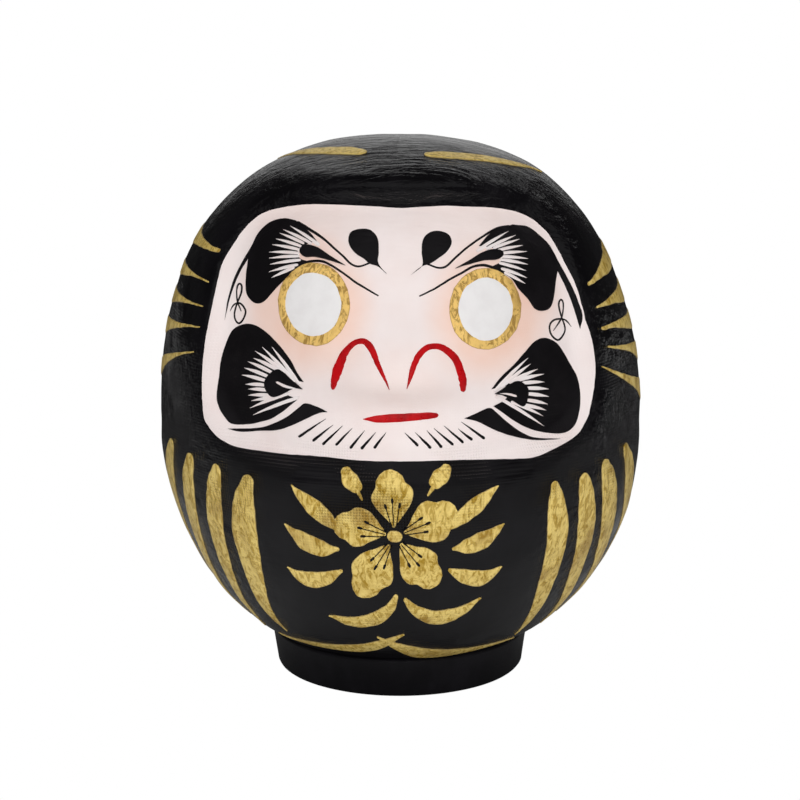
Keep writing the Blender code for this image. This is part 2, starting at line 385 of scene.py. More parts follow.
def near_point(tree, axes, centre, reach_x, reach_z):
    """How near a point of the face is to (x, z), from 1 at the middle to 0 at the reach."""
    dx = math_node(tree, "DIVIDE", minus(tree, axes["X"], centre[0]), reach_x)
    dz = math_node(tree, "DIVIDE", minus(tree, axes["Z"], centre[1]), reach_z)
    square = plus(tree, times(tree, dx, dx), times(tree, dz, dz))
    return smooth_range(tree, square, 0.0, 1.0, 1.0, 0.0)


def make_face_white():
    material, tree, shader = new_material("face_white", 0.42, 0.35)
    surface = group_node(tree, PAPER_RELIEF, Lumps=0.7, Weave=0.7, Strokes=0.5)
    place, axes = position(tree)
    cloud = smooth_range(tree, noise_node(tree, place, 70.0, 3.0, 0.6), 0.35, 0.7)
    colour = mix_colour(tree, cloud, (0.93, 0.83, 0.81), (0.90, 0.78, 0.755))
    blush = 0.0
    for x, z in EYE_CENTRES:
        centre = (x + math.copysign(BLUSH_SHIFT, x), z - BLUSH_SHIFT)
        blush = plus(tree, blush, near_point(tree, axes, centre, BLUSH_REACH, BLUSH_REACH), clamp=True)
    for x, z, reach in ((-22.0, 110.0, 14.0), (22.0, 110.0, 14.0), (0.0, 76.0, 10.0)):
        tone = near_point(tree, axes, (x * MM, z * MM), reach * MM * 1.6, reach * MM)
        blush = plus(tree, blush, times(tree, tone, 0.16), clamp=True)
    spray = times(tree, blush, plus(tree, times(tree, cloud, 0.2), 0.8))
    colour = mix_colour(tree, times(tree, spray, 0.58), colour, (0.97, 0.50, 0.30))
    tree.links.new(colour, shader.inputs["Base Color"])
    fine = noise_node(tree, surface["Round"], 500.0, 3.0, 0.6)
    tree.links.new(plus(tree, times(tree, fine, 0.2), 0.34), shader.inputs["Roughness"])
    relief(tree, shader, surface["Height"], 0.13 * MM)
    return material


def make_plain_paint(name, first, second, roughness, level, depth):
    """A brushed paint of one colour that clouds towards a second."""
    material, tree, shader = new_material(name, roughness, level)
    surface = group_node(tree, PAPER_RELIEF, Lumps=0.6, Weave=0.5, Strokes=0.5)
    cloud = smooth_range(tree, noise_node(tree, surface["Round"], 240.0, 3.0, 0.6), 0.35, 0.7)
    tree.links.new(mix_colour(tree, cloud, first, second), shader.inputs["Base Color"])
    fine = noise_node(tree, surface["Round"], 900.0, 2.0, 0.6)
    tree.links.new(plus(tree, times(tree, fine, 0.2), roughness - 0.1), shader.inputs["Roughness"])
    relief(tree, shader, surface["Height"], depth)
    return material


FACE_WHITE = make_face_white()
EYE_WHITE = make_plain_paint("eye_white", (0.87, 0.85, 0.845), (0.83, 0.805, 0.80), 0.45, 0.35, 0.12 * MM)
HAIR_WHITE = make_plain_paint("hair_white", (0.90, 0.83, 0.82), (0.88, 0.76, 0.73), 0.45, 0.35, 0.08 * MM)
RED = make_plain_paint("red_paint", (0.54, 0.002, 0.005), (0.32, 0.001, 0.003), 0.30, 0.3, 0.14 * MM)
print("paints:", FACE_WHITE.name, EYE_WHITE.name, HAIR_WHITE.name, RED.name)

# %% [markdown]
# ## The body
#
# The two moulded halves are glued, papered over at the joint and dipped, so from outside they
# are one surface. It is a turned shape with the face pressed into it. A subdivided ball would
# need sculpting, but a profile spun round the axis has its rings where the face's rims are, and
# the press is then a single function of where a point lies. A little noise makes it hand-made.

# %% Body constants
BELLY_DROP = 58 * MM
HEAD_POWER = 2.3
BELLY_POWER = 2.2
WALL = 1.8 * MM
BODY_STEPS = 280
BODY_RINGS = 118
FACE_TOP, FACE_BOTTOM = 114.0, 55.5  # heights in mm
FACE_HALF_TOP, FACE_HALF_BOTTOM = 38.5, 48.0
NECK_CREASE = 0.14 * MM
SMOOTH_ANGLE = math.radians(40.0)


def smooth_step(value):
    share = min(1.0, max(0.0, value))
    return share * share * (3.0 - 2.0 * share)


def hump(value):
    """A bell curve, 1 in the middle."""
    return math.exp(-value * value)


def body_profile(rings):
    """(radius, height) from the shell's bottom edge to the crown, evenly spaced along the curve."""
    angle = np.linspace(-0.5 * math.pi, 0.5 * math.pi, 4001)
    power = np.where(angle < 0.0, BELLY_POWER, HEAD_POWER)
    reach = np.where(angle < 0.0, BELLY_DROP, HEIGHT - EQUATOR)
    radius = RADIUS * np.abs(np.cos(angle)) ** (2.0 / power)
    height = EQUATOR + np.sign(angle) * reach * np.abs(np.sin(angle)) ** (2.0 / power)
    keep = height >= SHELL_BOTTOM
    radius, height = radius[keep], height[keep]
    radius[-1] = 0.0
    run = np.concatenate([[0.0], np.cumsum(np.hypot(np.diff(radius), np.diff(height)))])
    stops = np.linspace(0.0, run[-1], rings + 1)
    return list(zip(np.interp(stops, run, radius), np.interp(stops, run, height)))


def face_press(x, z):
    """How far the mould pushes the front back at (x, z), in metres."""
    x = x / MM
    z = z / MM
    middle, half_height = 0.5 * (FACE_TOP + FACE_BOTTOM), 0.5 * (FACE_TOP - FACE_BOTTOM)
    level = min(1.0, max(0.0, (z - FACE_BOTTOM) / (FACE_TOP - FACE_BOTTOM)))
    half_width = FACE_HALF_BOTTOM + level * (FACE_HALF_TOP - FACE_HALF_BOTTOM)
    reach = (abs(x) / half_width) ** 4 + (abs(z - middle) / half_height) ** 4
    inside = (1.0 - reach**0.25) / 0.19
    recess = (5.2 + level * 0.8) * smooth_step(inside)
    ridge = 3.5 * hump((z - 115.8) / 2.3) * math.exp(-((x / 30.0) ** 4))
    nose_z = z - 77.0
    nose = 5.0 * hump(x / 15.0) * hump(nose_z / (11.0 if nose_z > 0.0 else 5.0))
    chin = 2.2 * math.exp(-((x / 24.0) ** 4)) * hump((z - 62.0) / 5.0)
    eye = 1.2 * math.exp(-((((abs(x) - 18.0) / 9.0) ** 2 + ((z - 91.0) / 9.0) ** 2) ** 2))
    return (recess - ridge - (nose + chin + eye) * smooth_step(inside)) * MM


def fullness(z):
    """How much fuller than the turned shape the dried shell is at a height."""
    z = z / MM
    waist = -0.38 * hump((z - 72.0) / 12.0) - 0.71 * hump((z - 88.0) / 12.0)
    return (waist + 0.16 * hump((z - 104.0) / 9.0) + 0.75 * hump((z - 114.0) / 6.0)) * MM


def lean(z):
    """How far sideways it has settled: the head a little one way, the belly the other."""
    z = z / MM
    return (0.59 * hump((z - 33.0) / 16.0) - 0.54 * hump((z - 95.0) / 18.0)) * MM


def hand_made(place, normal):
    """The small unevenness of moulded and lacquered paper, as a move along the normal."""
    large = noise.noise(place * 42.0 + Vector((3.1, 0.7, 5.2)))
    middle = noise.noise(place * 120.0 + Vector((9.4, 2.2, 1.8)))
    small = noise.noise(place * 330.0)
    return normal * (0.38 * large + 0.16 * middle + 0.045 * small) * MM


# %% Spin and press the body
FULL_TURN = {"cent": (0, 0, 0), "axis": (0, 0, 1), "angle": 2.0 * math.pi, "use_merge": True}


def make_body_surface():
    bm = bmesh.new()
    verts = [bm.verts.new((radius, 0.0, height)) for radius, height in body_profile(BODY_RINGS)]
    edges = [bm.edges.new(pair) for pair in zip(verts, verts[1:])]
    bmesh.ops.spin(bm, geom=verts + edges, **FULL_TURN, steps=BODY_STEPS)
    bmesh.ops.remove_doubles(bm, verts=bm.verts, dist=1e-6)
    bmesh.ops.recalc_face_normals(bm, faces=bm.faces)
    for vertex in bm.verts:
        strength = smooth_step((-vertex.co.y / MM - 10.0) / 12.0)
        if strength > 0.0:
            vertex.co.y += strength * face_press(vertex.co.x, vertex.co.z)
        beside = smooth_step((abs(vertex.co.x) / MM - 34.0) / 10.0)
        crease = beside * smooth_step((28.0 - vertex.co.y / MM) / 20.0) * hump((vertex.co.z / MM - 57.5) / 2.6)
        swell = fullness(vertex.co.z) - NECK_CREASE * crease
        reach = max(vertex.co.xy.length, 10 * MM)
        vertex.co.x += vertex.co.x / reach * swell + lean(vertex.co.z)
        vertex.co.y += vertex.co.y / reach * swell
    bm.normal_update()
    moves = [hand_made(v.co, v.normal) for v in bm.verts]
    for vertex, move in zip(bm.verts, moves):
        edge = smooth_step((vertex.co.z - SHELL_BOTTOM) / (4 * MM))
        vertex.co += move * edge
    bm.normal_update()
    return bm


def finish_piece(name, bm, material):
    """Makes the mesh one named piece of the doll, riding on its only body."""
    bmesh.ops.recalc_face_normals(bm, faces=bm.faces)
    mesh = bpy.data.meshes.new(name)
    bm.to_mesh(mesh)
    bm.free()
    mesh.shade_smooth()
    mesh.set_sharp_from_angle(angle=SMOOTH_ANGLE)
    mesh.materials.append(material)
    piece = bpy.data.objects.new(name, mesh)
    scene.collection.objects.link(piece)
    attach(piece, "root")
    print(name, len(mesh.polygons), "faces")
    return piece


surface_mesh = make_body_surface()
surface_tree = BVHTree.FromBMesh(surface_mesh)
surface_mesh.faces.ensure_lookup_table()
shell_mesh = surface_mesh.copy()
bmesh.ops.solidify(shell_mesh, geom=shell_mesh.faces[:], thickness=WALL)
lacquered_body = finish_piece("lacquered_body", shell_mesh, LACQUER)
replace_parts(lacquered_body, "front_shell", "back_shell")

# %% [markdown]
# ## Laying paint on the body
#
# Each painted shape is a thin film. Its outline is drawn flat on a sheet that stands square to
# the eye line through the middle of the doll, with u across and v up in millimetres. The sheet
# is filled, cut into a fine grid so that it can bend, and thrown onto the body along straight
# lines from the eye, as a painter transfers a pattern through a stencil. It could be a mask in
# the material instead, but a film has the crisp edge and slight thickness of real paint.


# %% Stencil helpers
def smooth_run(points, steps=6):
    """An open smooth curve through the points. Each point may carry extra values, such as a width."""
    rows = np.array(points, float)
    if len(rows) < 3:
        return rows
    padded = np.vstack([2 * rows[0] - rows[1], rows, 2 * rows[-1] - rows[-2]])
    out = []
    for a, b, c, d in zip(padded, padded[1:], padded[2:], padded[3:]):
        square, cube = 2 * a - 5 * b + 4 * c - d, 3 * b - a - 3 * c + d
        for t in np.linspace(0.0, 1.0, steps, endpoint=False):
            out.append(0.5 * (2 * b + (c - a) * t + square * t**2 + cube * t**3))
    out.append(rows[-1])
    return np.array(out)


OUTLINE_STEPS = 5


def shape(*runs):
    """A closed outline of smooth runs that meet at corners."""
    return np.vstack([smooth_run(run, OUTLINE_STEPS)[:-1] for run in runs])


def loop(points):
    """A closed outline with no corner: a run that overlaps itself, with the overlap left out."""
    wrapped = points[-2:] + points + points[:2]
    return smooth_run(wrapped, OUTLINE_STEPS)[OUTLINE_STEPS : (len(points) + 1) * OUTLINE_STEPS]


def ellipse(centre, half, turn):
    """A closed oval outline, turned by an angle in degrees."""
    angle = np.linspace(0.0, 2.0 * math.pi, 40, endpoint=False)
    x = half[0] * np.cos(angle)
    y = half[1] * np.sin(angle)
    across, along = math.cos(math.radians(turn)), math.sin(math.radians(turn))
    return np.column_stack([centre[0] + x * across - y * along, centre[1] + x * along + y * across])


def stroke(points, steps=6):
    """Four lines along a brush stroke through (u, v, width) points, with rounded ends: its two
    edges, and inside each of them the line where the paint reaches its full thickness."""
    rows = smooth_run(points, steps)
    along = np.gradient(rows[:, :2], axis=0)
    along /= np.maximum(np.hypot(along[:, 0], along[:, 1]), 1e-9)[:, None]
    half = 0.5 * np.maximum(rows[:, 2], 0.05)
    turns = np.radians((15.0, 40.0, 65.0))
    start = [rows[0, :2] - along[0] * half[0] * math.cos(a) for a in turns]
    end = [rows[-1, :2] + along[-1] * half[-1] * math.cos(a) for a in turns[::-1]]
    middle = np.vstack([start, rows[:, :2], end])
    way = np.vstack([[along[0]] * 3, along, [along[-1]] * 3])
    reach = np.concatenate([half[0] * np.sin(turns), half, half[-1] * np.sin(turns[::-1])])[:, None]
    across = np.column_stack([-way[:, 1], way[:, 0]])
    full = np.maximum(reach - 0.45, 0.45 * reach)
    return middle + across * reach, middle + across * full, middle - across * full, middle - across * reach


# The shake's noise would start from the clock, so it gets a seed: every run brushes the same edges.
noise.seed_set(12)


def wobble(outline, amount):
    """Moves an outline's points a little, as a hand-held brush does."""
    moved = []
    for u, v in outline:
        push = noise.noise_vector(Vector((u * 0.55, v * 0.55, 4.2)))
        moved.append((u + amount * push.x, v + amount * push.y))
    return moved


print("stencil helpers ready")


# %% Film helpers
def surface_point(origin, direction):
    """Where a ray meets the body, and the smooth normal there."""
    place, _, index, _ = surface_tree.ray_cast(origin, direction)
    if place is None:
        return None, None
    face = surface_mesh.faces[index]
    weights = poly_3d_calc([v.co for v in face.verts], place)
    normal = Vector()
    for weight, vertex in zip(weights, face.verts):
        normal += weight * vertex.normal
    return place, normal.normalized()


def through_stencil(u, v):
    """A point of the sheet, thrown from the eye onto the body."""
    on_sheet = AIM + (Vector((u, 0.0, 0.0)) + SHEET_UP * v) * MM * STENCIL_SCALE
    return surface_point(EYE, (on_sheet - EYE).normalized())


def round_the_body(u, v):
    """u is the distance round the widest ring from the front, and v the height, in millimetres."""
    turn = u * MM / RADIUS
    return surface_point(Vector((0.0, 0.0, v * MM)), Vector((math.sin(turn), -math.cos(turn), 0.0)))


def over_the_crown(u, v):
    """u is across and v is forward, seen from above."""
    return surface_point(Vector((u * MM, -v * MM, 0.2)), Vector((0.0, 0.0, -1.0)))


SINK = 0.12 * MM
STENCIL_SCALE = 0.99


def edge_chain(bm, points, shake, closed, thickness=1.0):
    """A chain of edges through the points, shaken a little, where the paint has this thickness."""
    layer = bm.verts.layers.float["thickness"]
    verts = [bm.verts.new((u, v, 0.0)) for u, v in wobble(points, shake)]
    for vertex in verts:
        vertex[layer] = thickness
    ends = verts[1:] + verts[:1] if closed else verts[1:]
    return [bm.edges.new(pair) for pair in zip(verts, ends)]


def bridge_lines(bm, lines, shake, closed):
    """Fills between four lines: the paint is thin at the outer two and full at the inner two."""
    chains = [edge_chain(bm, line, shake, closed, full) for line, full in zip(lines, (0.0, 1.0, 1.0, 0.0))]
    for first, second in zip(chains, chains[1:]):
        bmesh.ops.bridge_loops(bm, edges=first + second)


def paint_film(name, outlines, lift, material, slot, grid=1.5, place=through_stencil, rings=(), shake=0.10):
    """A thin closed film of paint on the body, with its top at the given lift in millimetres. An
    outline is either one closed line to fill or a stroke's four lines, and place says how its
    points reach the body."""
    bm = bmesh.new()
    depth = bm.verts.layers.float.new("thickness")
    for outline in outlines:
        if isinstance(outline, tuple):
            bridge_lines(bm, outline, shake, False)
        else:
            bmesh.ops.triangle_fill(bm, edges=edge_chain(bm, outline, shake, True), use_beauty=True)
    for ring in rings:
        bridge_lines(bm, ring, shake, True)
    for axis in (0, 1):
        values = [v.co[axis] for v in bm.verts]
        across = Vector((1.0, 0.0, 0.0)) if axis == 0 else Vector((0.0, 1.0, 0.0))
        for step in range(math.ceil(min(values) / grid), math.floor(max(values) / grid) + 1):
            cut = [*bm.verts, *bm.edges, *bm.faces]
            bmesh.ops.bisect_plane(bm, geom=cut, dist=1e-3, plane_co=across * step * grid, plane_no=across)
    bmesh.ops.triangulate(bm, faces=bm.faces[:])
    bmesh.ops.dissolve_degenerate(bm, edges=bm.edges[:], dist=0.004)
    up = bm.verts.layers.float_vector.new("up")
    lost = []
    for vertex in bm.verts:
        where, normal = place(vertex.co.x, vertex.co.y)
        if where is None:
            lost.append(vertex)
            continue
        vertex[up] = normal
        vertex.co = where - normal * SINK
    if lost:
        bmesh.ops.delete(bm, geom=lost, context="VERTS")
        print(name, "lost", len(lost), "points off the body")
    raised = bmesh.ops.extrude_face_region(bm, geom=bm.faces[:])["geom"]
    for vertex in raised:
        if isinstance(vertex, bmesh.types.BMVert):
            vertex.co += vertex[up] * (lift * MM * (0.4 + 0.6 * smooth_step(vertex[depth])) + SINK)
    bm.verts.layers.float_vector.remove(up)
    open_edges = sum(not edge.is_manifold for edge in bm.edges)
    if open_edges:
        print(name, "has", open_edges, "open edges")
    return finish_piece(name, bm, material)


print("film helpers ready")

# %% [markdown]
# ## The face
#
# The white fills the recess up to its rims. Its outline is one smooth loop with full lower
# corners and narrower upper ones. A coat lies a little higher than what it covers, so the
# heights of all the coats are listed together first.

# %% How high each coat stands, in millimetres
LIFT = {
    "face": 0.14, "spikes": 0.16, "folds": 0.18, "hem": 0.20, "ornament": 0.22, "black": 0.24,
    "eye": 0.26, "red": 0.26, "stamens": 0.32, "hair": 0.33, "ring": 0.34, "top_black": 0.40, "glint": 0.46,
}
print("coats:", len(LIFT))

# %% Face white
face_outline = loop([
    (0, 43.6), (-7.7, 44.1), (-19.1, 44.5), (-25.5, 43.9), (-30.5, 42.7), (-34.3, 40.0), (-37.7, 35.5),
    (-40.5, 30.5), (-42.0, 24.3), (-43.4, 17.7), (-44.5, 11.4), (-44.9, 5.5), (-44.9, 0.5), (-44.5, -3.6),
    (-43.4, -6.1), (-41.1, -8.6), (-37.7, -10.5), (-32.7, -11.4), (-26.1, -12.3), (-19.3, -12.7),
    (-12.7, -13.4), (-6.1, -13.9), (4.5, -13.9), (13.9, -13.6), (25.5, -13.4), (30.5, -13.0),
    (35.5, -10.9), (39.8, -8.2), (42.0, -5.2), (43.4, -0.9), (44.3, 5.5), (44.1, 10.5), (43.2, 14.8),
    (42.0, 18.4), (41.4, 21.1), (39.8, 26.4), (37.7, 30.5), (35.5, 34.8), (33.2, 38.2), (30.5, 40.7),
    (27.0, 42.5), (22.0, 43.6), (15.5, 43.9), (10.5, 44.1), (5.5, 43.9),
])
face_white = paint_film("face_white", [face_outline], LIFT["face"], FACE_WHITE, "chalk_white", grid=1.3)

# %% [markdown]
# ## Brows
#
# Each brow stands for a crane: a dark wing with feathers fanned over it, a long line that ends
# in a drop beside the nose, and a line over the eye. The wing is one shape and the long lines
# are strokes whose width swells and fades as the brush is pressed and lifted.

# %% Brow shapes
brow_shapes = [
    shape(
        [(-23.6, 40.7), (-26.1, 41.2), (-29.1, 40.5), (-31.8, 38.2), (-33.7, 34.8), (-35.7, 31.4),
         (-37.6, 27.6), (-39.0, 23.1), (-39.8, 18.2)],
        [(-39.8, 18.2), (-38.2, 24.3), (-36.3, 28.9), (-34.4, 32.2)],
        [(-34.4, 32.2), (-34.9, 27.7), (-34.8, 24.3), (-33.6, 22.5), (-32.0, 21.9), (-30.4, 22.7),
         (-28.4, 25.0), (-26.4, 27.0), (-24.3, 29.1), (-22.5, 30.5), (-20.7, 31.4)],
        [(-20.7, 31.4), (-22.5, 32.0), (-23.2, 33.3), (-22.6, 34.6), (-20.5, 35.6), (-18.8, 36.0)],
        [(-18.8, 36.0), (-20.3, 37.9), (-23.6, 40.7)],
    ),
    shape(
        [(25.5, 39.8), (28.9, 39.3), (31.4, 37.5), (33.9, 35.0), (36.1, 31.1), (38.4, 27.0),
         (40.2, 23.0), (41.4, 19.1), (40.9, 16.1)],
        [(40.9, 16.1), (39.1, 21.8), (37.5, 25.7), (35.7, 29.3)],
        [(35.7, 29.3), (35.2, 26.4), (34.8, 23.4), (34.1, 21.1), (32.5, 20.2), (30.5, 20.7),
         (28.9, 23.0), (27.0, 25.0), (25.2, 27.5), (22.7, 29.1), (20.7, 30.2)],
        [(20.7, 30.2), (22.6, 31.2), (23.2, 32.6), (22.4, 33.9), (20.4, 34.6), (17.9, 34.9)],
        [(17.9, 34.9), (20.6, 37.9), (25.5, 39.8)],
    ),
    shape([(-3.0, 28.6), (-4.9, 31.0), (-4.8, 33.4), (-5.0, 36.4), (-6.4, 38.3), (-8.4, 38.8),
           (-10.9, 38.2), (-11.7, 36.5), (-11.2, 34.6), (-9.8, 33.0), (-8.2, 32.0), (-6.8, 30.9),
           (-5.0, 30.3), (-3.0, 28.6)]),
    shape([(2.5, 28.4), (5.0, 30.5), (4.9, 33.4), (5.2, 36.3), (6.7, 38.0), (9.0, 38.3), (11.1, 37.4),
           (11.7, 35.6), (10.7, 33.7), (8.8, 32.2), (7.0, 31.0), (4.9, 30.3), (2.5, 28.4)]),
    stroke([(-23.0, 40.2, 0.9), (-18.6, 37.5, 0.75), (-16.1, 35.5, 0.65), (-13.0, 32.7, 0.6),
            (-11.1, 30.9, 0.6), (-9.3, 30.3, 0.55), (-7.3, 30.9, 0.5), (-6.0, 31.6, 0.5)]),
    stroke([(24.5, 39.3, 0.9), (22.0, 38.9, 0.75), (18.9, 37.2, 0.65), (15.5, 34.8, 0.6),
            (12.6, 32.3, 0.6), (10.4, 30.3, 0.6), (8.6, 30.0, 0.55), (6.6, 30.7, 0.5), (5.5, 31.2, 0.5)]),
    stroke([(-24.5, 29.6, 0.8), (-22.0, 30.9, 0.75), (-19.8, 31.5, 0.7), (-17.5, 31.4, 0.65),
            (-15.6, 30.5, 0.62), (-12.9, 28.8, 0.6), (-10.2, 26.8, 0.58), (-7.3, 25.0, 0.55),
            (-5.0, 23.7, 0.4)]),
    stroke([(24.5, 28.6, 0.8), (21.4, 29.9, 0.75), (18.9, 30.6, 0.7), (16.5, 30.2, 0.65),
            (14.0, 28.8, 0.62), (11.2, 27.3, 0.58), (8.0, 25.3, 0.55), (4.5, 23.6, 0.4)]),
]
brow_black = paint_film("brow_black", brow_shapes, LIFT["black"], BRUSH_BLACK, "brush_black", shake=0.06)


# %% Feathers over the brows
FEATHER_BOW = 0.02


def feathers(outer, inner, width):
    """Strokes from a sharp outer end, widening towards the inner end, bowed a little."""
    made = []
    for (u0, v0), (u1, v1) in zip(outer, inner):
        rise = FEATHER_BOW * abs(u1 - u0)
        row = []
        for share, part in ((0.0, 0.08), (0.2, 0.55), (0.5, 0.95), (0.8, 1.0), (1.0, 0.85)):
            lift_up = 4.0 * share * (1.0 - share) * rise
            row.append((u0 + share * (u1 - u0), v0 + share * (v1 - v0) + lift_up, width * part))
        made.append(stroke(row, 3))
    return made


brow_feathers = feathers(
    [(-24.8, 39.4), (-26.4, 38.6), (-27.2, 37.8), (-28.0, 36.5), (-28.9, 35.2), (-29.6, 33.5),
     (-29.6, 32.1), (-29.4, 30.7), (-29.6, 29.0), (-29.0, 27.7)],
    [(-18.5, 35.3), (-20.3, 35.6), (-22.0, 35.6), (-22.6, 34.9), (-23.0, 34.1), (-23.1, 33.3),
     (-23.1, 32.6), (-22.8, 31.7), (-23.4, 30.6), (-24.2, 29.9)],
    1.0,
) + feathers(
    [(24.5, 38.2), (26.1, 37.3), (27.0, 36.4), (27.7, 35.0), (28.6, 33.6), (28.9, 32.0),
     (28.9, 30.7), (28.4, 29.3), (28.6, 27.7), (28.2, 26.4)],
    [(17.6, 33.9), (19.8, 34.4), (21.4, 34.5), (22.2, 33.9), (22.8, 33.2), (23.1, 32.5),
     (23.0, 31.8), (22.7, 31.0), (23.2, 29.7), (23.9, 28.8)],
    1.0,
)
brow_hairs = paint_film("brow_hairs", brow_feathers, LIFT["hair"], HAIR_WHITE, "chalk_white", shake=0.03)

brow_drops = paint_film(
    "brow_drops",
    [
        shape([(-12.4, 30.5), (-15.9, 32.7), (-18.6, 34.5), (-21.1, 35.2), (-22.5, 34.4), (-22.5, 33.2),
               (-21.4, 32.4), (-19.3, 32.4), (-15.9, 31.6), (-12.4, 30.5)]),
        shape([(12.5, 29.8), (16.0, 31.8), (18.6, 33.4), (20.9, 34.1), (22.9, 33.8), (23.3, 32.7),
               (21.8, 31.8), (19.0, 31.6), (15.9, 30.8), (12.5, 29.8)]),
    ],
    LIFT["top_black"], BRUSH_BLACK, "brush_black", shake=0.03,
)

# %% [markdown]
# ## Eyes
#
# The eyes are left blank until a wish is made: a white oval in a gold ring. The ring is laid
# with a loaded brush, so its outside and inside are not quite the same oval.

# %% Eyes
def ring(centre, outer, inner_centre, inner, turn):
    """Four loops of an oval ring: its edges, and where the paint is at full thickness."""
    step = 0.4
    return (
        ellipse(centre, outer, turn),
        ellipse(centre, (outer[0] - step, outer[1] - step), turn),
        ellipse(inner_centre, (inner[0] + step, inner[1] + step), turn),
        ellipse(inner_centre, inner, turn),
    )


left_ring = ring((-19.5, 21.75), (8.15, 9.45), (-19.6, 21.7), (6.05, 6.95), 3.0)
right_ring = ring((19.3, 20.7), (8.1, 9.3), (19.4, 20.65), (5.9, 6.85), -3.0)
eye_rings = paint_film(
    "eye_rings", [], LIFT["ring"], GOLD_RING, "gold_paint",
    grid=1.2, rings=[left_ring, right_ring], shake=0.22,
)
eye_whites = paint_film(
    "eye_whites",
    [ellipse((-19.7, 21.8), (6.7, 7.6), 3.0), ellipse((19.45, 20.65), (6.4, 7.45), -3.0)],
    LIFT["eye"], EYE_WHITE, "chalk_white",
)

# %% [markdown]
# ## Beard
#
# The beard stands for two tortoises: a dark lobe on each cheek, with fine hairs that gather on
# a curled eye, a leaf-shaped stroke below, and short whiskers along the chin.

# %% Beard shapes
beard_shapes = [
    shape(
        [(-21.8, 4.1), (-23.4, 6.4), (-24.8, 9.1), (-27.0, 12.0), (-29.3, 14.5), (-32.0, 16.6),
         (-34.8, 17.3), (-37.7, 16.1), (-39.3, 13.2), (-40.6, 9.1), (-41.1, 5.1), (-41.6, 0.8),
         (-41.1, -1.6), (-39.8, -3.9), (-38.1, -5.5), (-34.3, -5.5), (-31.8, -5.0), (-29.1, -4.2),
         (-26.4, -2.5), (-23.0, 0.3)],
        [(-23.0, 0.3), (-25.5, 1.2), (-27.0, 3.0), (-25.5, 4.6), (-21.8, 4.1)],
    ),
    shape(
        [(20.7, 2.5), (22.7, 5.1), (25.5, 7.7), (28.2, 10.8), (30.5, 13.3), (32.5, 14.1), (34.8, 13.4),
         (36.4, 11.8), (38.4, 8.4), (40.2, 5.1), (40.9, 1.4), (40.7, -2.5), (39.8, -5.5), (38.4, -7.0),
         (36.4, -7.7), (33.2, -7.5), (29.5, -6.6), (26.1, -4.9), (23.4, -3.0), (21.1, -1.4)],
        [(21.1, -1.4), (23.6, 0.0), (25.2, 2.0), (23.6, 3.2), (20.7, 2.5)],
    ),
    shape(
        [(-39.1, -6.6), (-36.1, -7.3), (-31.8, -7.0), (-27.7, -6.8), (-24.3, -5.7), (-21.1, -4.2),
         (-18.4, -3.0), (-16.4, -2.7)],
        [(-16.4, -2.7), (-18.6, -1.6), (-21.4, -0.7), (-23.0, -1.8), (-25.7, -3.9), (-29.1, -5.5),
         (-32.7, -6.4), (-39.1, -6.6)],
    ),
    shape(
        [(14.5, -4.2), (17.3, -3.0), (20.2, -1.8), (22.0, -3.0), (24.5, -5.2), (27.5, -7.3),
         (30.8, -8.6), (36.4, -8.9)],
        [(36.4, -8.9), (34.1, -9.1), (30.2, -9.1), (25.5, -8.2), (21.4, -6.8), (17.5, -4.9), (14.5, -4.2)],
    ),
]


def whiskers(lower, upper):
    """Short strokes, thick at the lower end."""
    return [stroke([(u0, v0, 0.75), (0.5 * (u0 + u1), 0.5 * (v0 + v1), 0.55), (u1, v1, 0.12)], 4)
            for (u0, v0), (u1, v1) in zip(lower, upper)]


beard_shapes += whiskers(
    [(-22.7, -8.2), (-19.5, -9.1), (-17.3, -9.9), (-14.3, -10.0), (-11.1, -10.7), (-8.6, -10.9), (-5.7, -10.7)],
    [(-16.8, -4.3), (-15.2, -5.7), (-13.0, -5.9), (-10.9, -6.5), (-8.0, -7.0), (-5.5, -7.4), (-3.2, -7.4)],
)
beard_shapes += whiskers(
    [(18.9, -8.6), (16.1, -8.9), (14.1, -9.5), (11.8, -10.0), (9.3, -10.5), (6.8, -10.7), (3.9, -10.2)],
    [(13.9, -5.0), (13.2, -6.6), (10.0, -5.9), (7.7, -6.5), (6.1, -7.0), (3.4, -7.4), (1.1, -7.5)],
)
beard_black = paint_film("beard_black", beard_shapes, LIFT["black"], BRUSH_BLACK, "brush_black", shake=0.05)

# %% Hairs and curled eyes of the beard
beard_feathers = feathers(
    [(-28.9, 12.0), (-31.1, 12.0), (-32.7, 11.1), (-33.1, 9.5), (-34.3, 8.7), (-35.2, 7.3), (-35.7, 5.7),
     (-34.9, 3.6), (-34.3, 2.5), (-34.3, 1.1), (-33.6, -0.2), (-33.9, -1.8), (-33.2, -3.4)],
    [(-23.0, 3.9), (-24.1, 4.5), (-26.4, 6.6), (-28.0, 7.0), (-29.3, 6.4), (-30.2, 5.5), (-30.7, 4.5),
     (-30.7, 3.4), (-30.2, 2.3), (-29.5, 1.1), (-28.0, 0.7), (-25.5, 1.4), (-23.2, 0.5)],
    1.16,
) + feathers(
    [(28.9, 9.5), (29.5, 8.2), (31.1, 7.0), (32.5, 5.9), (32.6, 4.1), (33.6, 2.5), (33.6, 0.8),
     (33.4, -0.9), (33.0, -2.3), (32.3, -3.6), (32.5, -5.9)],
    [(21.6, 2.3), (23.2, 3.2), (25.0, 4.1), (26.4, 4.4), (28.0, 3.9), (28.9, 2.7), (29.1, 1.4),
     (28.9, 0.0), (28.2, -1.1), (25.5, -0.5), (22.0, 0.7)],
    1.16,
)
beard_hairs = paint_film("beard_hairs", beard_feathers, LIFT["hair"], HAIR_WHITE, "chalk_white", shake=0.03)
